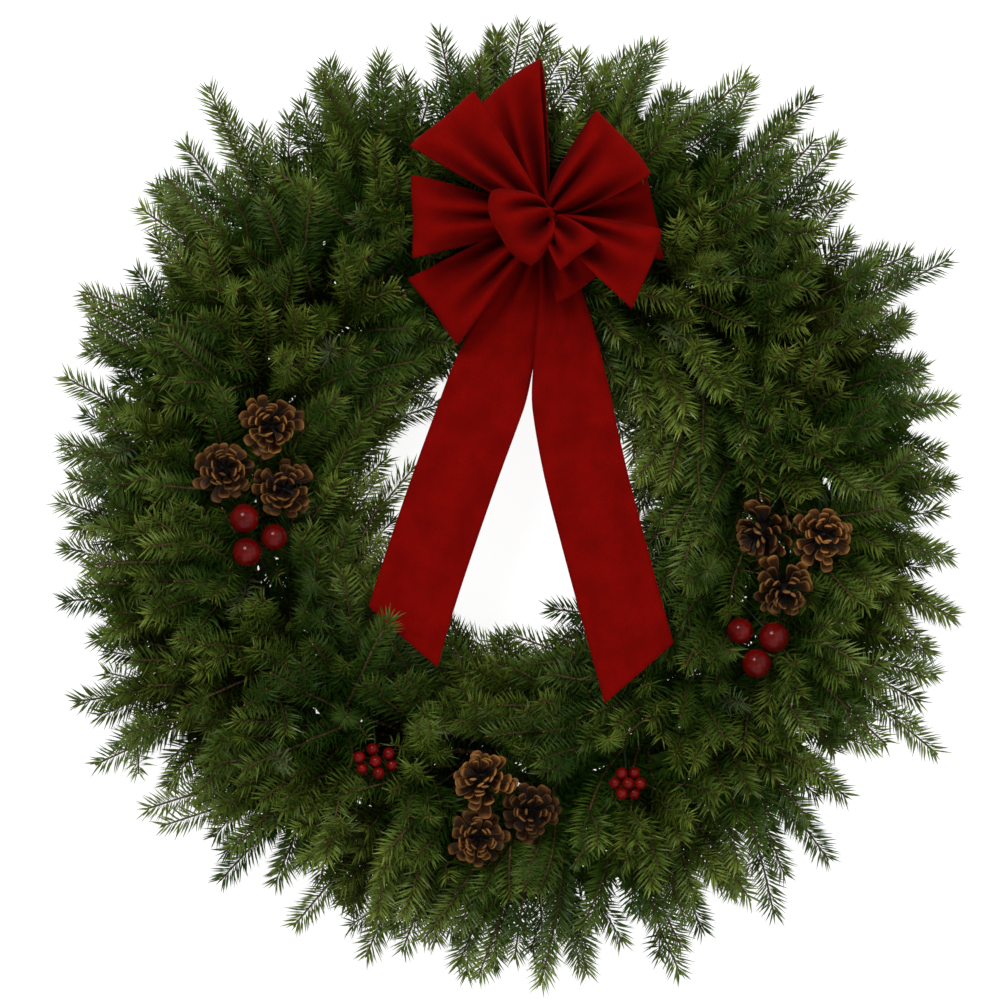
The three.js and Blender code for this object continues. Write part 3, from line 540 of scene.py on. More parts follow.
def keep_outs():
    """Capsules about the trims: two ends, the trim's own radius there, and the radius a twig stays out of."""
    rows = []

    def path(points, own, clear):
        for a, b in zip(points[:-1], points[1:]):
            rows.append((*a, *b, own, own + clear))

    for group in (CONES, BALLS):
        for foot, heads in group.values():
            for head in heads:
                cone = len(head) > 2
                own, clear = (head[1] * CONE_SPREAD, CLEAR_CONE) if cone else (head[1], CLEAR_BALL)
                path([head[0], head[0]], own, clear)
                path([head[0], [*head[0][:2], OPEN_TO]], head[1] * OPEN_SHARE, OPEN_CLEAR)
            trunk, *branches = pick_paths(foot, heads)
            path(trunk, TRUNK_OWN, CLEAR_WIRE_LOW)
            for branch in branches:
                path(branch, WIRE_OWN, CLEAR_WIRE_HIGH)
    for spray in BERRIES.values():
        stems, trunk = spray_paths(*spray)
        path([spray[1], [*spray[1][:2], OPEN_TO]], OPEN_BERRIES, OPEN_CLEAR)
        for line in [*stems, trunk[1]]:
            path(line, WIRE_OWN, CLEAR_WIRE_HIGH)
        for line in stems:
            path([line[1], line[1]], BERRY_RADIUS, CLEAR_BERRY)
        path(trunk[0], TRUNK_OWN, CLEAR_WIRE_LOW)
    ribbons = [loop_line(loop, 12) for loop in [*LOOPS, KNOT]]
    ribbons += [tail_line(line, 10)[:3] for line, _ in TAILS.values()]
    for points, across, width in ribbons:
        for share in (-0.42, -0.21, 0, 0.21, 0.42):
            line = points + across * (share * width)[:, None]
            for j in range(1, len(line)):
                own = (np.linalg.norm(line[j] - line[j - 1]) + width[j]) / 25 + 3
                rows.append((*line[j - 1], *line[j], own, own + CLEAR_RIBBON))
    tie = tie_path()
    path(tie[:2], WIRE_OWN, CLEAR_WIRE_LOW)
    path(smooth_line(tie, 10)[3:], WIRE_OWN, CLEAR_WIRE_HIGH)
    path([tie[3], [*GATHER_AT, GATHER_HIGH]], GATHER_RADIUS, CLEAR_WIRE_HIGH)
    return np.array(rows, float)


KEEP_OUTS = keep_outs()
POINTS_AT_ONCE, WIDEST_TRIM = 20000, 45


def inside_trims(points, radius_column, extra=0.0, past_wires=False):
    """True where a point lies inside a capsule: nearer to its axis than its radius plus the extra. The
    points are taken in runs, so that the table of distances stays small."""
    low, high = points.min(0) - WIDEST_TRIM, points.max(0) + WIDEST_TRIM
    a, b = KEEP_OUTS[:, :3], KEEP_OUTS[:, 3:6]
    near = np.all((np.maximum(a, b) > low) & (np.minimum(a, b) < high), 1)
    if past_wires:
        near &= KEEP_OUTS[:, 6] > WIRE_OWN
    a, b, radius = a[near], b[near], KEEP_OUTS[near, radius_column] + extra
    hit = np.zeros(len(points), bool)
    if not len(a):
        return hit
    run = b - a
    size = np.maximum((run**2).sum(1), 1e-9)
    for start in range(0, len(points), POINTS_AT_ONCE):
        p = points[start:start + POINTS_AT_ONCE]
        t = np.clip((p @ run.T - (a * run).sum(1)) / size, 0, 1)
        gap2 = ((p**2).sum(1)[:, None] - 2 * (p @ a.T) + (a**2).sum(1)
                - 2 * t * (p @ run.T - (a * run).sum(1)) + t**2 * size)
        hit[start:start + POINTS_AT_ONCE] = (gap2 < radius**2).any(1)
    return hit


def open_share(lines, close=False):
    """The share of each line that lies clear of the trims, or nearly touches them but for their wires, where
    it may be close, and inside the wreath's full width and height; lines is (count, 41, 3)."""
    points = lines[:, 1:].reshape(-1, 3)
    bad = inside_trims(points, 6, 4, past_wires=True) if close else inside_trims(points, 7)
    bad |= (np.abs(points[:, :2]) > WIDEST).any(1)
    bad = bad.reshape(len(lines), -1)
    first = np.where(bad.any(1), bad.argmax(1), lines.shape[1] - 1)
    return first / (lines.shape[1] - 1)


# ---- Fir bunches ----
def bunch_point(bunch, out, rise, arc):
    """A point of a shoot: distance out from the stub, rise in degrees, and arc length round the ring."""
    out, rise = np.asarray(out, float), np.radians(rise)
    r = RING_RADIUS + out * np.cos(rise)
    angle = clamp_angle(bunch) - arc / r
    return around(r, angle, STUB_Z + out * np.sin(rise))


def sweep(out):
    """How far round the ring a shoot has swept where it is this far out: quickly at first, then steadily."""
    return SWEEP_START + SWEEP_SWING * (1 - np.exp(-out / SWEEP_SETTLE)) + SWEEP_SLOPE * out


# One sprig that lies over the left tail's corner: its bunch and the points it passes.
SPRIG_BUNCH, SPRIG = 11, [(-132, -166, 56), (-118, -138, 94), (-108, -116, 110), (-94, -92, 113)]
STEPS = np.linspace(0, 1, 41)
STATIONS = 15
SIDE_END, SIDE_SPREAD, SIDE_BOW = 0.86, 34, 0.07
LOWEST_TWIG, LOWEST_RISE, HIGHEST_RISE = 5, 1.5, 178
# How much lower a finer leader is laid, try by try, where a trim is in its way, and what a try costs.
FALLS, FALL_COST = (0, 13, 26, 39), 0.12
UPRIGHT_SHARE = 0.7
# A leader that rises less than this is a low one. How much of a shoot is bare at its foot.
LOW_SHOOT = 60
BARE_LOW, BARE_HIGH, BARE_SPRIG, BARE_SIDE, BARE_BACK = 0.13, 0.09, 0.08, 0.03, 0.04
# Twigs: radius at the foot and at the tip, and the step from one used station of the line to the next.
LEADER_TWIG, SIDE_TWIG, BACK_TWIG = (1.9, 0.95, 2), (1.0, 0.7, 7), (1.4, 0.9, 7)
# Where side shoots leave a main leader and a finer one, how long they are, and on which sides they grow.
MAIN_SIDES = [(0.47, 1.0, (-1, 1))]
FAN_SIDES = {1: [(0.5, 0.95, (1,))], -1: [(0.5, 0.95, (-1,))]}


def resample(line, share):
    """The first share of a line, as STATIONS even steps."""
    f = np.linspace(0, share * (len(line) - 1), STATIONS)
    i = np.minimum(f.astype(int), len(line) - 2)
    w = (f - i)[:, None]
    return line[i] * (1 - w) + line[i + 1] * w


def oval(bunch, rise):
    """What the low shoots gain in reach towards the wreath's top and bottom: the square of a sine."""
    return OVAL_GAIN * math.sin(clamp_angle(bunch) - OVAL_LAG) ** 2 if rise < LOW_SHOOT else 0


def leader_plan(bunch, r):
    """Every leader of a bunch: root, rise, reach, drift, aside and its side shoots. The main ones fork in
    pairs from the stub's stems, as the solids have them; the finer ones start on the stem nearest in rise."""
    twin_knee = None
    for n, (stem, rise, reach) in enumerate(LEADERS):
        reach = reach * (1 + oval(bunch, rise) + JITTER_REACH * vary(bunch, n, 0))
        rise = rise + JITTER_RISE * vary(bunch, n, 1)
        root = bunch_point(bunch, FORK_ROOT, STEM_RISES_DEG[stem], STUB_ARC)
        knee = bunch_point(bunch, FORK_KNEE, rise, sweep(FORK_KNEE))
        if n % 2:
            root = root + (twin_knee - root) * (FORK_PART / FORK_KNEE)
        twin_knee = knee
        yield root, rise, reach, JITTER_SLOPE * vary(bunch, n, 2), 0, MAIN_SIDES
    for rise0, reach0, asides in FANS:
        for aside in asides:
            rise = max(rise0 + FAN_RISE * r.normal(), LOWEST_RISE)
            stray = FAN_REACH * np.clip(r.normal(), -1.8, 1.9) * (1.0 if rise0 < 40 else FAN_REACH_HIGH)
            reach = min(reach0 * (1 + oval(bunch, rise0) + stray), LONGEST_REACH)
            stem = int(np.argmin([abs(rise - s) for s in STEM_RISES_DEG]))
            root = bunch_point(bunch, FORK_ROOT, STEM_RISES_DEG[stem], STUB_ARC)
            drift, aside = FAN_DRIFT * r.normal(), aside + FAN_ASIDE * r.normal()
            yield root, rise, reach, drift, aside, FAN_SIDES[r.choice([-1, 1])]


def leader_line(bunch, root, rise, reach, drift, aside, curl):
    """A leader: straight from its root to a knee, then straight to its tip, less a curl that grows as the
    square of the way past the knee."""
    v = STEPS[:, None]
    knee = bunch_point(bunch, FORK_KNEE, rise, sweep(FORK_KNEE) + aside * 0.3)
    tip = bunch_point(bunch, reach, rise, sweep(reach) + drift * reach + aside)
    bend = FORK_KNEE / reach
    line = np.where(v < bend, root + (knee - root) * v / bend, knee + (tip - knee) * (v - bend) / (1 - bend))
    line = line + curl * reach * np.clip((v - bend) / (1 - bend), 0, 1) ** 2
    return np.maximum(line, [-1e4, -1e4, LOWEST_TWIG])


def side_twig(start, end, along):
    """A side shoot: straight from start to end, bowed away from its leader as a parabola."""
    v = STEPS[:, None]
    run = end - start
    bow = SIDE_BOW * np.linalg.norm(run) * unit(run - along * (run @ along))
    return np.maximum(start + run * v + bow * (4 * v * (1 - v)), [-1e4, -1e4, LOWEST_TWIG])


def bunch_lines(bunch, r):
    """A bunch's shoots: its leaders, each with side shoots aside and mostly one that stands up; where a trim
    is in the way of a finer leader, the leader is laid lower under it. Gives the lines, (count, STATIONS, 3),
    how many are leaders, and the share of each that is bare."""
    leaders, bare, sides = [], [], []
    for n, (root, rise, reach, drift, aside, pairs) in enumerate(leader_plan(bunch, r)):
        fine = n >= len(LEADERS)
        curl = (r.normal(0, 1, 3) * [0.1, 0.1, 0.06] + [0, 0, 0.04]) * fine
        falls = FALLS if fine else FALLS[:1]
        tries = [np.clip(rise - f if rise < 90 else rise + f, LOWEST_RISE, HIGHEST_RISE) for f in falls]
        lines = np.array([leader_line(bunch, root, x, reach, drift, aside, curl) for x in tries])
        shares = open_share(lines, fine)
        best = int(np.argmax(shares - FALL_COST * np.arange(len(falls))))
        line, share, rise = lines[best], shares[best], tries[best]
        if share < SHORTEST_SHOOT:
            continue
        leaders.append(resample(line, share))
        bare.append((BARE_LOW if rise < LOW_SHOOT else BARE_HIGH) / share)
        along = unit(line[-1] - line[20])
        for v0, size, both in pairs:
            if v0 > share - 0.08:
                continue
            for side in both:
                here = v0 + 0.035 * r.normal() if fine else v0
                longer = size * (1 + 0.14 * r.normal())
                start = line[int(np.clip(round(here * 40), 0, 39))]
                out = reach * min(0.99, here + (SIDE_END - 0.47) * longer)
                arc = (sweep(out) + side * SIDE_SPREAD * longer + drift * out
                       + aside * (0.3 + 0.7 * out / reach))
                end = bunch_point(bunch, out, rise + 6 * r.normal(), arc)
                sides.append(side_twig(start, end + r.normal(0, 5, 3) * fine, along))
        if rise < 125 and r.uniform() < UPRIGHT_SHARE:
            start = line[int(np.clip((share - r.uniform(0.12, 0.45)) * 40, 12, 38))]
            lean = unit(along * r.uniform(0.2, 0.8) + [0, 0, 1] + r.normal(0, 0.45, 3) * [1, 1, 0.3])
            sides.append(side_twig(start, start + lean * r.uniform(26, 44), along))
    if bunch == SPRIG_BUNCH:
        root = bunch_point(bunch, FORK_ROOT, STEM_RISES_DEG[2], STUB_ARC)
        leaders.append(resample(smooth_line([root, *SPRIG], len(STEPS)), 1))
        bare.append(BARE_SPRIG)
    sides = np.array(sides)
    shares = open_share(sides, True)
    kept = [resample(line, s) for line, s in zip(sides, shares) if s >= SHORTEST_SIDE]
    return np.array(leaders + kept), len(leaders), np.array(bare + [BARE_SIDE] * len(kept))


def backing_lines(bunch, r):
    """The broad shoots at the back: flat ones straight from the stub's foot to their tips, and ones bound
    along the ring, which waver a little in and out as a sine of the way along."""
    lines = []
    for rise, reach0, asides in BACKING:
        for aside in asides:
            reach = reach0 * (1 + 0.06 * r.normal())
            root = bunch_point(bunch, FORK_ROOT, STEM_RISES_DEG[0 if rise < 90 else 3], STUB_ARC)
            lines.append(leader_line(bunch, root, rise, reach, 0, aside + 4 * r.normal(), 0))
    for out, rise in BINDING:
        arc = np.linspace(*BINDING_ARC, len(STEPS)) + 6 * r.normal()
        waver = BINDING_WAVER * np.sin(arc / BINDING_WAVE + out)
        lines.append(bunch_point(bunch, out + waver, rise + 5 * r.normal(), arc))
    lines = np.array(lines)
    shares = open_share(lines, True)
    return np.array([resample(line, s) for line, s in zip(lines, shares) if s > SHORTEST_BACK])


NEEDLES_PER_MM, BACKING_PER_MM = 1.55, 0.86
NEEDLE_LENGTH, NEEDLE_WIDTH, NEEDLE_THICK = 17.0, 1.55, 0.65
BACKING_WIDTH = 5.0
# Needles stand up to this far round from the top, close their slant over the last of a shoot, and are fewer
# and wider the deeper they lie; deeper ones are also darker, which is painted shade.
NEEDLE_ROUND_DEG, NEEDLE_SLANT_DEG, TIP_CLOSING_DEG, TIP_CLOSING = 130, 64, 30, 14
THIN_FROM, THIN_OVER, THINNEST, DEEP_SHADE_FROM, DEEP_SHADE_OVER = 30, 60, 0.4, 12, 74
NEEDLE_CLEAR, LOWEST_TIP = 0.6, 1.5
PALE_SHOOTS, PALE_LONGEST, PALE = 0.03, 60, 0.55
TONE, TONE_BY_SHOOT, TONE_BY_NEEDLE = 0.62, 0.19, 0.14
BLADE = np.array([[0, 2, 1], [1, 2, 3], [0, 1, 3], [0, 3, 2]])


def depth_in(points):
    """How deep a point lies under the bunches' outer reach, measured from the ring's wire outwards."""
    ring_out, height = np.hypot(points[:, 0], points[:, 1]) - RING_RADIUS, points[:, 2] - STUB_Z
    reach = np.interp(np.degrees(np.arctan2(height, ring_out)), [-90, 0, 25, 43, 64, 90, 116, 180, 270],
                      [60, 165, 158, 132, 106, 88, 80, 76, 60])
    return reach - np.hypot(ring_out, height)


def shoot_needles(lines, bare, r, per_mm=NEEDLES_PER_MM, needle_width=NEEDLE_WIDTH):
    """Needles in a golden-angle spiral along each shoot, thrown towards its sides and top. Each is a closed
    blade with four corners: its foot on the twig and its tip, joined by the keel, and its two widest points a
    little above that. It leans forward by its slant, which closes towards the shoot's tip, and turns its
    flat face up."""
    step = np.linalg.norm(np.diff(lines, axis=1), axis=2)
    length = step.sum(1)
    counts = (length * (1 - bare) * per_mm).astype(int)
    k = np.repeat(np.arange(len(lines)), counts)
    i = np.arange(len(k)) - np.repeat(np.cumsum(counts) - counts, counts)
    u = (i + 0.5 + 0.6 * r.uniform(-1, 1, len(k))) / counts[k]
    u = bare[k] + (0.995 - bare[k]) * np.clip(u, 0, 1)
    f = u * (STATIONS - 1)
    j = np.minimum(f.astype(int), STATIONS - 2)
    w = (f - j)[:, None]
    base = lines[k, j] * (1 - w) + lines[k, j + 1] * w
    along = unit(lines[k, j + 1] - lines[k, j])
    centre = lines.mean(1)
    outward = unit(centre * [1, 1, 0])[k]
    up = np.array([0, 0, 1.0]) + 0.35 * outward
    up = unit(up - along * (up * along).sum(1, keepdims=True))
    right = np.cross(along, up)
    turn = (i * 0.6180339887 + r.uniform(0, 1, len(lines))[k]) % 1
    a = np.radians(NEEDLE_ROUND_DEG) * np.sign(turn - 0.5) * np.abs(2 * turn - 1) ** 0.85
    radial = up * np.cos(a)[:, None] + right * np.sin(a)[:, None]
    tipward = np.clip((u * length[k] - (length[k] - TIP_CLOSING)) / TIP_CLOSING, 0, 1)
    slant = np.radians(NEEDLE_SLANT_DEG - TIP_CLOSING_DEG * tipward - 6 * u + r.normal(0, 5, len(k)))
    size = NEEDLE_LENGTH * (0.78 + 0.24 * np.abs(np.sin(a))) * (1 - 0.22 * tipward)
    size = size * r.uniform(0.86, 1.08, len(k))
    size *= np.where(u < 0.12, 0.75, 1)
    direction = unit(along * np.cos(slant)[:, None] + radial * np.sin(slant)[:, None])
    tip = base + direction * size[:, None]
    tip += along * (0.1 * size)[:, None] + np.array([0, 0, 0.03]) * size[:, None]
    depth = depth_in(base)
    share = np.clip(1.15 - (depth - THIN_FROM) / THIN_OVER, THINNEST, 1)
    keep = (tip[:, 2] > LOWEST_TIP) & (r.uniform(0, 1, len(k)) < share)
    for point in (tip, base + (tip - base) * 0.6):
        keep &= ~inside_trims(point, 6, NEEDLE_CLEAR)
    base, direction, size, tip, k, u, up, depth, share = [
        x[keep] for x in (base, direction, size, tip, k, u, up, depth, share)]
    flat = up + 0.5 * r.normal(0, 0.5, up.shape)
    wide = unit(np.cross(direction, flat))
    normal = np.cross(wide, direction)
    middle = base + (tip - base) * 0.42 + normal * NEEDLE_THICK
    half = (needle_width / 2 * r.uniform(0.85, 1.1, len(size)) / share**0.9)[:, None]
    verts = np.stack([base, middle - wide * half, middle + wide * half, tip], 1)
    tone = TONE + TONE_BY_SHOOT * r.normal(0, 1, len(lines))[k] + TONE_BY_NEEDLE * r.normal(0, 1, len(k))
    # Painted shade: the tone drops with the needle's depth under the bunch's outer reach.
    tone = np.clip(tone - np.clip(depth - DEEP_SHADE_FROM, 0, 90) / DEEP_SHADE_OVER, 0, 1)
    fresh = np.clip(r.normal(0.75, 0.2, len(lines))[k], 0, 1) * np.clip(u, 0, 1) ** 1.5
    pale = ((r.uniform(0, 1, len(lines)) < PALE_SHOOTS) & (length < PALE_LONGEST))[k] * PALE
    marks = np.stack([np.repeat(tone[:, None], 4, 1), fresh[:, None] * [0.6, 0.9, 0.9, 1],
                      np.repeat(pale[:, None], 4, 1)], -1)
    return verts.reshape(-1, 3), for_each([BLADE], len(k), 4), 0, marks.reshape(-1, 3)


TWIG_SIDES = 3


def twig_rods(skin, lines, thick, thin, step):
    """Twigs as three-sided rods that thin towards the tip, with a small bud at the end; a rod takes one of
    every step stations of its line."""
    run = unit(lines[:, -1] - lines[:, -2])
    bud = lines[:, -1:] + run[:, None] * np.array([0.3, 1.6, 2.8])[:, None]
    line = np.concatenate([lines[:, ::step], bud], 1)
    n = line.shape[1]
    radii = np.interp(np.arange(n), [0, n - 4, n - 3, n - 2, n - 1], [thick, thin, 1.0, 1.15, 0.45])
    verts, faces, each = tubes(line, np.repeat(radii[None], len(line), 0), TWIG_SIDES)
    marks = np.zeros((len(line), each, 3))
    marks[:, (n - 3) * TWIG_SIDES:n * TWIG_SIDES, 1] = 1
    marks[:, -1, 1] = 1
    skin.add(verts, faces, 1, marks.reshape(-1, 3))


def cut_stems(skin, bunch, r):
    """The bunch's four stems under the clamp: bark rods side by side along the ring, cut off square."""
    a = clamp_angle(bunch)
    out, along = np.array([math.cos(a), math.sin(a), 0]), np.array([-math.sin(a), math.cos(a), 0])
    lines = []
    for x, z in [(-3.3, -3.2), (3.4, -3.1), (-3.1, 3.2), (3.3, 3.3)]:
        ends = np.array([-STUB_LENGTH / 2, STUB_LENGTH / 2]) * r.uniform(0.9, 1.0, 2)
        t = np.linspace(0, 1, 6)[:, None]
        middle = out * (RING_RADIUS + x) + np.array([0, 0, STUB_Z + z])
        lines.append(middle + along * (ends[0] + (ends[1] - ends[0]) * t))
    lines = np.array(lines)
    verts, faces, each = tubes(lines, np.repeat([[3.2, 3.25, 3.1, 3.2, 3.25, 3.15]], 4, 0), 10)
    marks = np.zeros((4, each, 3))
    marks[:, -2:, 2] = 1
    skin.add(verts, faces, 1, marks.reshape(-1, 3))


def fir_bunch(bunch):
    """A bunch of fir: its cut stems, leaders, finer shoots and back shoots, and the needles on them. Twigs
    are smooth and needles are left with their edges."""
    r = np.random.default_rng(100 + bunch)
    lines, leaders, bare = bunch_lines(bunch, r)
    skin = Skin()
    cut_stems(skin, bunch, r)
    twig_rods(skin, lines[:leaders], *LEADER_TWIG)
    twig_rods(skin, lines[leaders:], *SIDE_TWIG)
    backing = backing_lines(bunch, r)
    twig_rods(skin, backing, *BACK_TWIG)
    skin.add(*shoot_needles(lines, bare, r))
    bare = np.full(len(backing), BARE_BACK)
    skin.add(*shoot_needles(backing, bare, r, BACKING_PER_MM, BACKING_WIDTH))
    skin.piece(f"fir_bunch_{bunch + 1:02d}", [NEEDLE, BARK], [f"bough_{bunch + 1:02d}"],
               smooth=np.concatenate(skin.kinds) == 1)


# ---- Pine cones ----
SCALES, SCALE_ROUND, SCALE_ALONG = 42, 8, 7
# From the lowest scale to the highest, in shares of the cone's radius: where it sits, how long and how half
# wide it is, and what it loses on the way up; its lean, in degrees; and how far each strays.
SCALE_FOOT, SCALE_CLIMB, SCALE_LEAN_DEG, SCALE_LEAN_GAIN = -0.58, 0.95, -26, 62
SCALE_LENGTH, LENGTH_LOSS, SCALE_HALF, HALF_LOSS = 1.16, 0.66, 0.212, 0.08
TURN_STRAY, LEAN_STRAY, ROLL_STRAY, SHADE_STRAY = 0.22, 0.19, 0.38, 0.2
SCALE_CURL, SCALE_CUP = 0.2, 0.16
# Along a scale from its stalk to its lip: the stations, how broad it is there and how thick in millimetres.
SCALE_AT = np.array([0.0, 0.42, 0.68, 0.82, 0.92, 0.98, 1.0])
SCALE_BROAD = np.array([0.3, 0.4, 0.8, 1.0, 0.95, 0.7, 0.4])
SCALE_THICK = np.array([0.9, 0.9, 0.9, 1.2, 1.5, 1.3, 0.7])


def pine_cone(name, node_name, at, radius, axis, seed, weathered):
    """Woody scales in a golden-angle spiral up a core. A scale is a flat ellipse carried outwards: it widens
    from a stalk to a broad round end, is cupped like a spoon, curls up and thickens at its lip; the low
    scales lie open past level, the high ones are shorter and lean up, and stay apart round a middle painted
    near black as shade."""
    r = np.random.default_rng(seed)
    f = (np.arange(SCALES) + 0.5) / SCALES
    turn = np.arange(SCALES) * GOLDEN + r.normal(0, TURN_STRAY, SCALES)
    height = radius * (SCALE_FOOT + SCALE_CLIMB * f)
    lean = np.radians(SCALE_LEAN_DEG + SCALE_LEAN_GAIN * f) + r.normal(0, LEAN_STRAY, SCALES)
    size = radius * (SCALE_LENGTH - LENGTH_LOSS * f**1.1) * r.uniform(0.86, 1.06, SCALES)
    half = radius * (SCALE_HALF - HALF_LOSS * f) * r.uniform(0.85, 1.12, SCALES)
    roll = r.normal(0, ROLL_STRAY, SCALES)
    s = SCALE_AT
    curl = SCALE_CURL * s**3 - 0.05 * np.sin(np.pi * s)
    a = 2 * np.pi * np.arange(SCALE_ROUND) / SCALE_ROUND
    x = (size[:, None] * (0.12 + 0.88 * s))[:, :, None] * np.ones(SCALE_ROUND)
    y = (half[:, None] * SCALE_BROAD)[:, :, None] * np.cos(a)
    z = (size[:, None] * curl)[:, :, None] + SCALE_THICK[:, None] * np.sin(a)
    z = z + SCALE_CUP * y**2 / np.maximum(half[:, None, None], 1) + roll[:, None, None] * y
    radial = np.stack([np.cos(turn), np.sin(turn), 0 * turn], -1)
    side = np.stack([-np.sin(turn), np.cos(turn), 0 * turn], -1)
    up = np.array([0, 0, 1.0])
    run = radial * np.cos(lean)[:, None] + up * np.sin(lean)[:, None]
    top = -radial * np.sin(lean)[:, None] + up * np.cos(lean)[:, None]
    root = up * height[:, None]
    body = (root[:, None, None] + x[..., None] * run[:, None, None] + y[..., None] * side[:, None, None]
            + z[..., None] * top[:, None, None])
    ends = body[:, [0, -1]].mean(2)
    verts = np.concatenate([body.reshape(SCALES, -1, 3), ends], 1)
    each = SCALE_ALONG * SCALE_ROUND + 2
    faces = for_each(closed_faces(SCALE_ALONG, SCALE_ROUND), SCALES, each)
    tone = np.clip(weathered + r.normal(0, SHADE_STRAY, SCALES), 0, 1)
    marks = np.zeros((SCALES, each, 3))
    marks[..., 0] = tone[:, None]
    marks[:, :-2, 1] = np.repeat(s, SCALE_ROUND)[None]
    marks[:, -1, 1] = 1
    edge = np.maximum(np.clip((s[:, None] - 0.88) / 0.1, 0, 1), np.clip((s[:, None] - 0.5) / 0.2, 0, 1)
                      * (np.abs(np.cos(a)) > 0.9))
    marks[:, :-2, 2] = edge.reshape(-1)[None]
    marks[:, -1, 2] = 1
    skin = Skin()
    turned = turn_to(axis)
    # The core takes no marks, so it is near black all over: painted shade in the cone's middle.
    core, core_faces = ball_grid((0, 0, -radius * 0.16), radius * np.array([0.3, 0.3, 0.5]), 10, 14)
    skin.add(core @ turned.T + at, core_faces)
    skin.add(verts.reshape(-1, 3) @ turned.T + at, faces, 0, marks.reshape(-1, 3))
    skin.piece(name, [CONE_WOOD], [node_name])


# ---- Balls, berries and wires ----
def rod(skin, points, thickness, count=12, sides=8, kind=0):
    line = smooth_line(points, count)[None]
    verts, faces, _ = tubes(line, np.full(line.shape[:2], thickness / 2), sides)
    skin.add(verts, faces, kind)


def picks(name, node_name, foot, heads):
    skin = Skin()
    for path in pick_paths(foot, heads):
        rod(skin, path, PICK_WIRE, 4 if len(path) < 3 else 14)
    skin.piece(name, [FLORAL_WIRE], [node_name])


def ball(name, node_name, at, radius):
    """A dipped ball: a sphere a touch flatter than round, with a small neck of lacquer on its wire."""
    skin = Skin()
    skin.add(*ball_grid(at, radius * np.array([1, 1, 0.98]), 20, 28))
    neck = np.array(at) - [0, 0, radius - 0.6]
    skin.add(*ball_grid(neck, np.array([2.2, 2.2, 1.6]), 8, 16))
    skin.piece(name, [BALL_RED], [node_name])


def berries(name, node_name, spray):
    stems, trunk = spray_paths(*spray)
    skin = Skin()
    for low, berry in stems:
        skin.add(*ball_grid(berry, BERRY_RADIUS * np.array([1, 1, 1.04]), 11, 16))
        bend = low + (berry - low) * 0.55 + [0, 0, -2]
        rod(skin, [low, bend, berry - [0, 0, BERRY_RADIUS * 0.6]], BERRY_STEM, 8, 6, 1)
    for path in trunk:
        rod(skin, path, PICK_WIRE, 6, 8, 1)
    skin.piece(name, [BERRY_SKIN, FLORAL_WIRE], [node_name])


# ---- Velvet bow ----
def cloth(name, node_name, grid, uv, rests_on, fold_shade):
    """A ribbon's middle surface from its grid of points, thickened by Solidify; the last argument, from 0 to
    1
    at each point, is painted shade: darkest deep in a fold."""
    rows, cols = grid.shape[:2]
    skin = Skin()
    skin.add(grid, [grid_faces(rows, cols)], marks=np.repeat(fold_shade.reshape(-1, 1), 3, 1))
    made = skin.piece(name, [VELVET], [node_name], uv=uv.reshape(-1, 2))
    solid = made.modifiers.new("pile and backing", "SOLIDIFY")
    solid.thickness, solid.offset = RIBBON_THICKNESS * MM, 0
    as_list(rests_on)


def ribbon_loop(name, node_name, loop, dress, seed, start=None, rounding=LOOP_ROUNDING, sag=LOOP_SAG):
    """A loop of ribbon pinched at its neck. Along it the profile of a long drop; across it the width
    spreads from the neck, and the cloth gathers in cosine pleats, deep at the neck and gone at the fold."""
    r = np.random.default_rng(seed)
    rows, cols = 61, 27
    u = (1 - np.cos(np.pi * np.linspace(0, 1, rows))) / 2 * 0.35 + np.linspace(0, 1, rows) * 0.65
    v = np.linspace(-1, 1, cols)
    neck, out, across, lift, first = loop_frame(loop)
    spread, skew, pleats, phase = dress
    away, height, width, share = loop_profile(loop, u, spread)
    if start is not None:
        away = away - (first - start) * (1 - share)
    depth = (PLEAT_AT_NECK * (1 - share) ** 1.6 + PLEAT_ON_FACE * np.sin(np.pi * share**0.8))[:, None]
    wobble = 0.25 * np.sin(3.1 * v + r.uniform(0, 6))
    fold = depth * np.cos(np.pi * pleats * (v + wobble * 0.5) + phase)
    puff_across = 1 - sag * np.abs(v)[None] ** 2.2 * np.sin(np.pi * share)[:, None]
    rim = 1.5 * np.sin(2.2 * v + r.uniform(0, 6))[None] * share[:, None] ** 2
    rim = rim + skew * v[None] * share[:, None]
    rim = rim - rounding * np.abs(v)[None] ** 3 * share[:, None]
    grid = (neck + (away[:, None] + rim)[..., None] * out
            + (height[:, None] * puff_across + fold)[..., None] * lift
            + (width[:, None] / 2 * v)[..., None] * across)
    steps = np.linalg.norm(np.diff(grid, axis=0), axis=2)
    middle = steps[:, cols // 2]
    run = np.concatenate([[0], np.cumsum(middle)])
    uv = np.stack(np.meshgrid(run, (v + 1) / 2 * loop[6], indexing="ij"), -1) * MM
    # Painted shade: darker in the hollows of the pleats, and more so towards the neck.
    fold_shade = np.clip(0.5 - fold / (2 * depth + 0.1), 0, 1) ** 1.3 * (1 - share[:, None] ** 2.4)
    cloth(name, node_name, grid, uv, ["velvet_gather"], fold_shade)


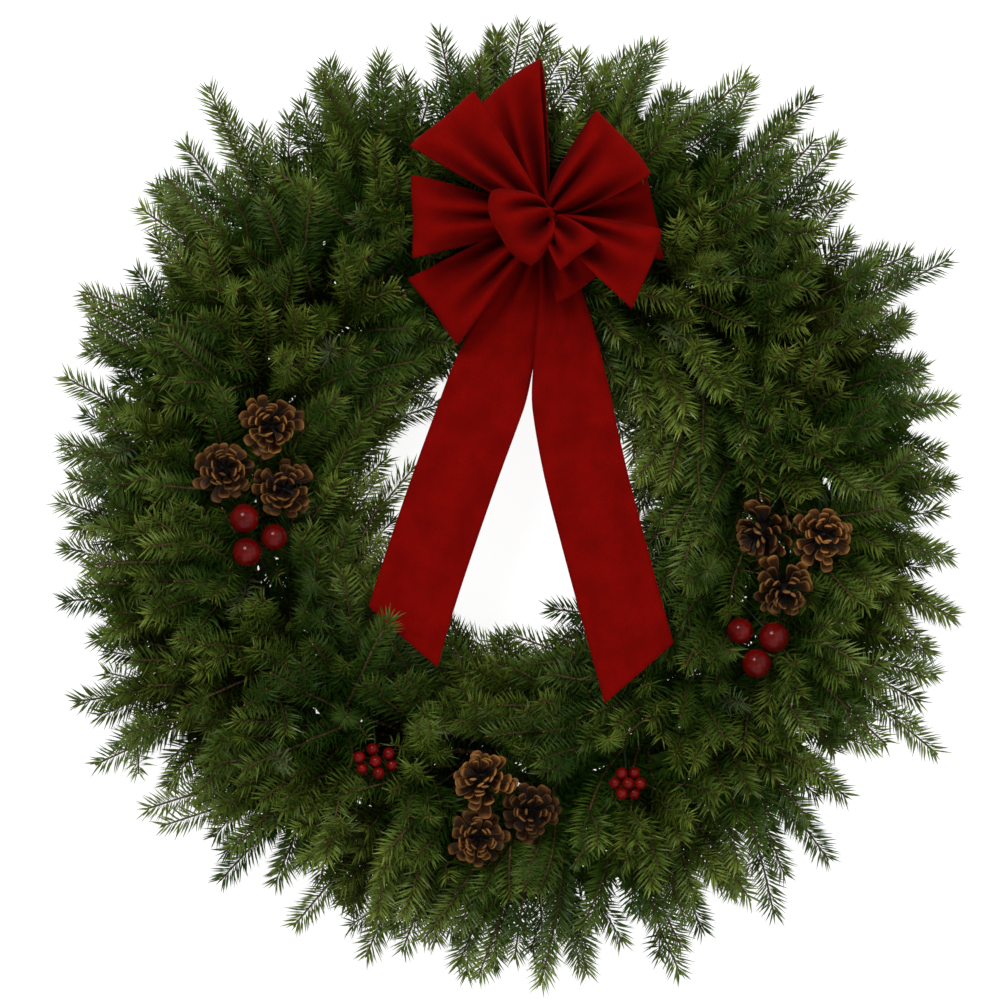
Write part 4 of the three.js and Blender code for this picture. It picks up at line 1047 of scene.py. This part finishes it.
def ribbon_tail(name, node_name, line, cut, seed, rests_on):
    """A tail of ribbon: its centre line is carried to a slanted end, each thread running on past it or
    stopping short in proportion to its place across, with slow waves and pleats at its pinched top."""
    r = np.random.default_rng(seed)
    rows, cols = 81, 19
    points, across, width, run = tail_line(line, 200)
    s = np.concatenate([[0], np.cumsum(np.linalg.norm(np.diff(points, axis=0), axis=1))])
    length = s[-1]
    v = np.linspace(-1, 1, cols)
    along = np.linspace(0, 1, rows)[:, None] * (length + cut * v)[None]
    past = np.maximum(along - length, 0)
    within = np.clip(along, 0, length)

    def look(values):
        return np.stack([np.interp(within, s, values[:, k]) for k in range(3)], -1)

    normal = np.cross(run, across)
    w = np.interp(within, s, width)
    pinch = 1 - (w - w.min()) / (RIBBON_WIDTH - w.min())
    wave = TAIL_WAVE * np.sin(along / TAIL_WAVE_LENGTH + r.uniform(0, 6) + 0.9 * v) * (1 - pinch)
    fold = TAIL_PLEAT * pinch**1.4 * np.cos(np.pi * TAIL_PLEATS * v + 0.8)
    grid = (look(points) + past[..., None] * run[-1] + (w / 2 * v)[..., None] * look(across)
            + (wave + fold)[..., None] * look(normal))
    uv = np.stack([along, np.broadcast_to((v + 1) / 2 * RIBBON_WIDTH, along.shape)], -1) * MM
    # Painted shade: darker in the hollows of the pleats at the tail's pinched top.
    fold_shade = np.clip(0.5 - fold / (2 * TAIL_PLEAT), 0, 1) * pinch
    cloth(name, node_name, grid, uv, rests_on, fold_shade)


def gather():
    """The ribbon pinched upright between the loops: a post whose radius ripples in pleats round it and
    which domes over at the top."""
    skin = Skin()
    rows, cols = 24, 72
    t = np.linspace(0, 1, rows)
    a = 2 * np.pi * np.arange(cols) / cols
    radius = GATHER_RADIUS * np.sqrt(np.clip(1 - np.clip((t - 0.86) / 0.14, 0, 1) ** 2, 0.03, 1))
    ripple = 1 + 0.1 * np.cos(9 * a)[None] * (0.6 + 0.4 * np.sin(5 * t))[:, None]
    z = GATHER_LOW + (GATHER_TOP - GATHER_LOW) * t
    r = radius[:, None] * ripple * 0.97
    body = around(r, a, z[:, None]) + [*GATHER_AT, 0]
    verts = np.vstack([body.reshape(-1, 3), [[*GATHER_AT, GATHER_LOW], [*GATHER_AT, GATHER_TOP]]])
    skin.add(verts, closed_faces(rows, cols))
    skin.piece("velvet_gather", [VELVET], ["bow_gather"], uv=verts[:, :2] * MM * 3)


# ---- The whole wreath ----
clamp_ring()
for bunch in range(BUNCHES):
    fir_bunch(bunch)
for side, (foot, heads) in CONES.items():
    for i, head in enumerate(heads):
        pine_cone(f"pine_cone_{side}_{i + 1}", f"cone_{side}_{i + 1}", *head, 10 * foot + i,
                  CONE_TONES[side][i])
    picks(f"cone_pick_{side}", f"cone_wires_{side}", foot, heads)
for side, (foot, heads) in BALLS.items():
    for i, head in enumerate(heads):
        ball(f"lacquer_ball_{side}_{i + 1}", f"ball_{side}_{i + 1}", *head)
    picks(f"ball_pick_{side}", f"ball_wires_{side}", foot, heads)
for side, spray in BERRIES.items():
    berries(f"berry_spray_{side}", f"berries_{side}", spray)

gather()
for i, loop in enumerate(LOOPS):
    ribbon_loop(f"ribbon_loop_{i + 1:02d}", f"bow_loop_{i + 1:02d}", loop, LOOP_DRESS[i], 50 + i)
ribbon_loop("ribbon_knot", "bow_knot", KNOT, KNOT_DRESS, 70, KNOT_START, KNOT_ROUNDING, KNOT_SAG)
ribbon_tail("ribbon_tail_left", "bow_tail_left", *TAILS["left"], 71, ["velvet_gather", "fir_bunch_11"])
ribbon_tail("ribbon_tail_right", "bow_tail_right", *TAILS["right"], 72, ["velvet_gather", "fir_bunch_14"])
tie = Skin()
rod(tie, tie_path(), TIE_WIRE, 24)
tie.piece("bow_tie_wire", [FLORAL_WIRE], ["bow_tie"])


# ---- Studio ----
FLOOR_Z = -0.0005
# A lamp: where it stands, the side of its square and its power in watts.
LAMPS = {"key": ((-0.8, 1.5, 2.4), 0.9, 36), "fill": ((2.0, 0.4, 2.6), 4.0, 30),
         "front": ((0.1, -2.2, 2.5), 4.0, 24)}


def studio():
    """A plain pale floor that glows a little, a camera straight above, and broad soft lights, in metres."""
    scene = bpy.context.scene
    scene.view_settings.view_transform = "Standard"
    mesh = bpy.data.meshes.new("floor")
    corners = [(x, y, FLOOR_Z) for x, y in ((-6, -6), (6, -6), (6, 6), (-6, 6))]
    mesh.from_pydata(corners, [], [(0, 1, 2, 3)])
    floor = bpy.data.objects.new("floor", mesh)
    scene.collection.objects.link(floor)
    pale, _, shader = blank("floor_matt_white_card")
    feed(shader, {"Base Color": srgb("#909090"), "Roughness": 0.9, "Emission Color": (1, 1, 1, 1),
                  "Emission Strength": 0.9})
    mesh.materials.append(pale)

    camera = bpy.data.objects.new("camera", bpy.data.cameras.new("camera"))
    scene.collection.objects.link(camera)
    camera.data.lens, camera.data.sensor_width = 180, 36
    camera.location = (-0.0064, 0.0028, 4.1)
    camera.data.clip_end = 50
    scene.camera = camera

    for name, (place, size, power) in LAMPS.items():
        lamp = bpy.data.objects.new(name, bpy.data.lights.new(name, "AREA"))
        lamp.data.shape, lamp.data.size, lamp.data.energy = "SQUARE", size, power
        lamp.location = place
        lamp.rotation_euler = (Vector((0, 0, 0.05)) - Vector(place)).to_track_quat("-Z", "Y").to_euler()
        scene.collection.objects.link(lamp)
    world = bpy.data.worlds.new("studio")
    world.use_nodes = True
    feed(world.node_tree.nodes["Background"], {0: (1, 1, 1, 1), 1: 0.35})
    scene.world = world


studio()
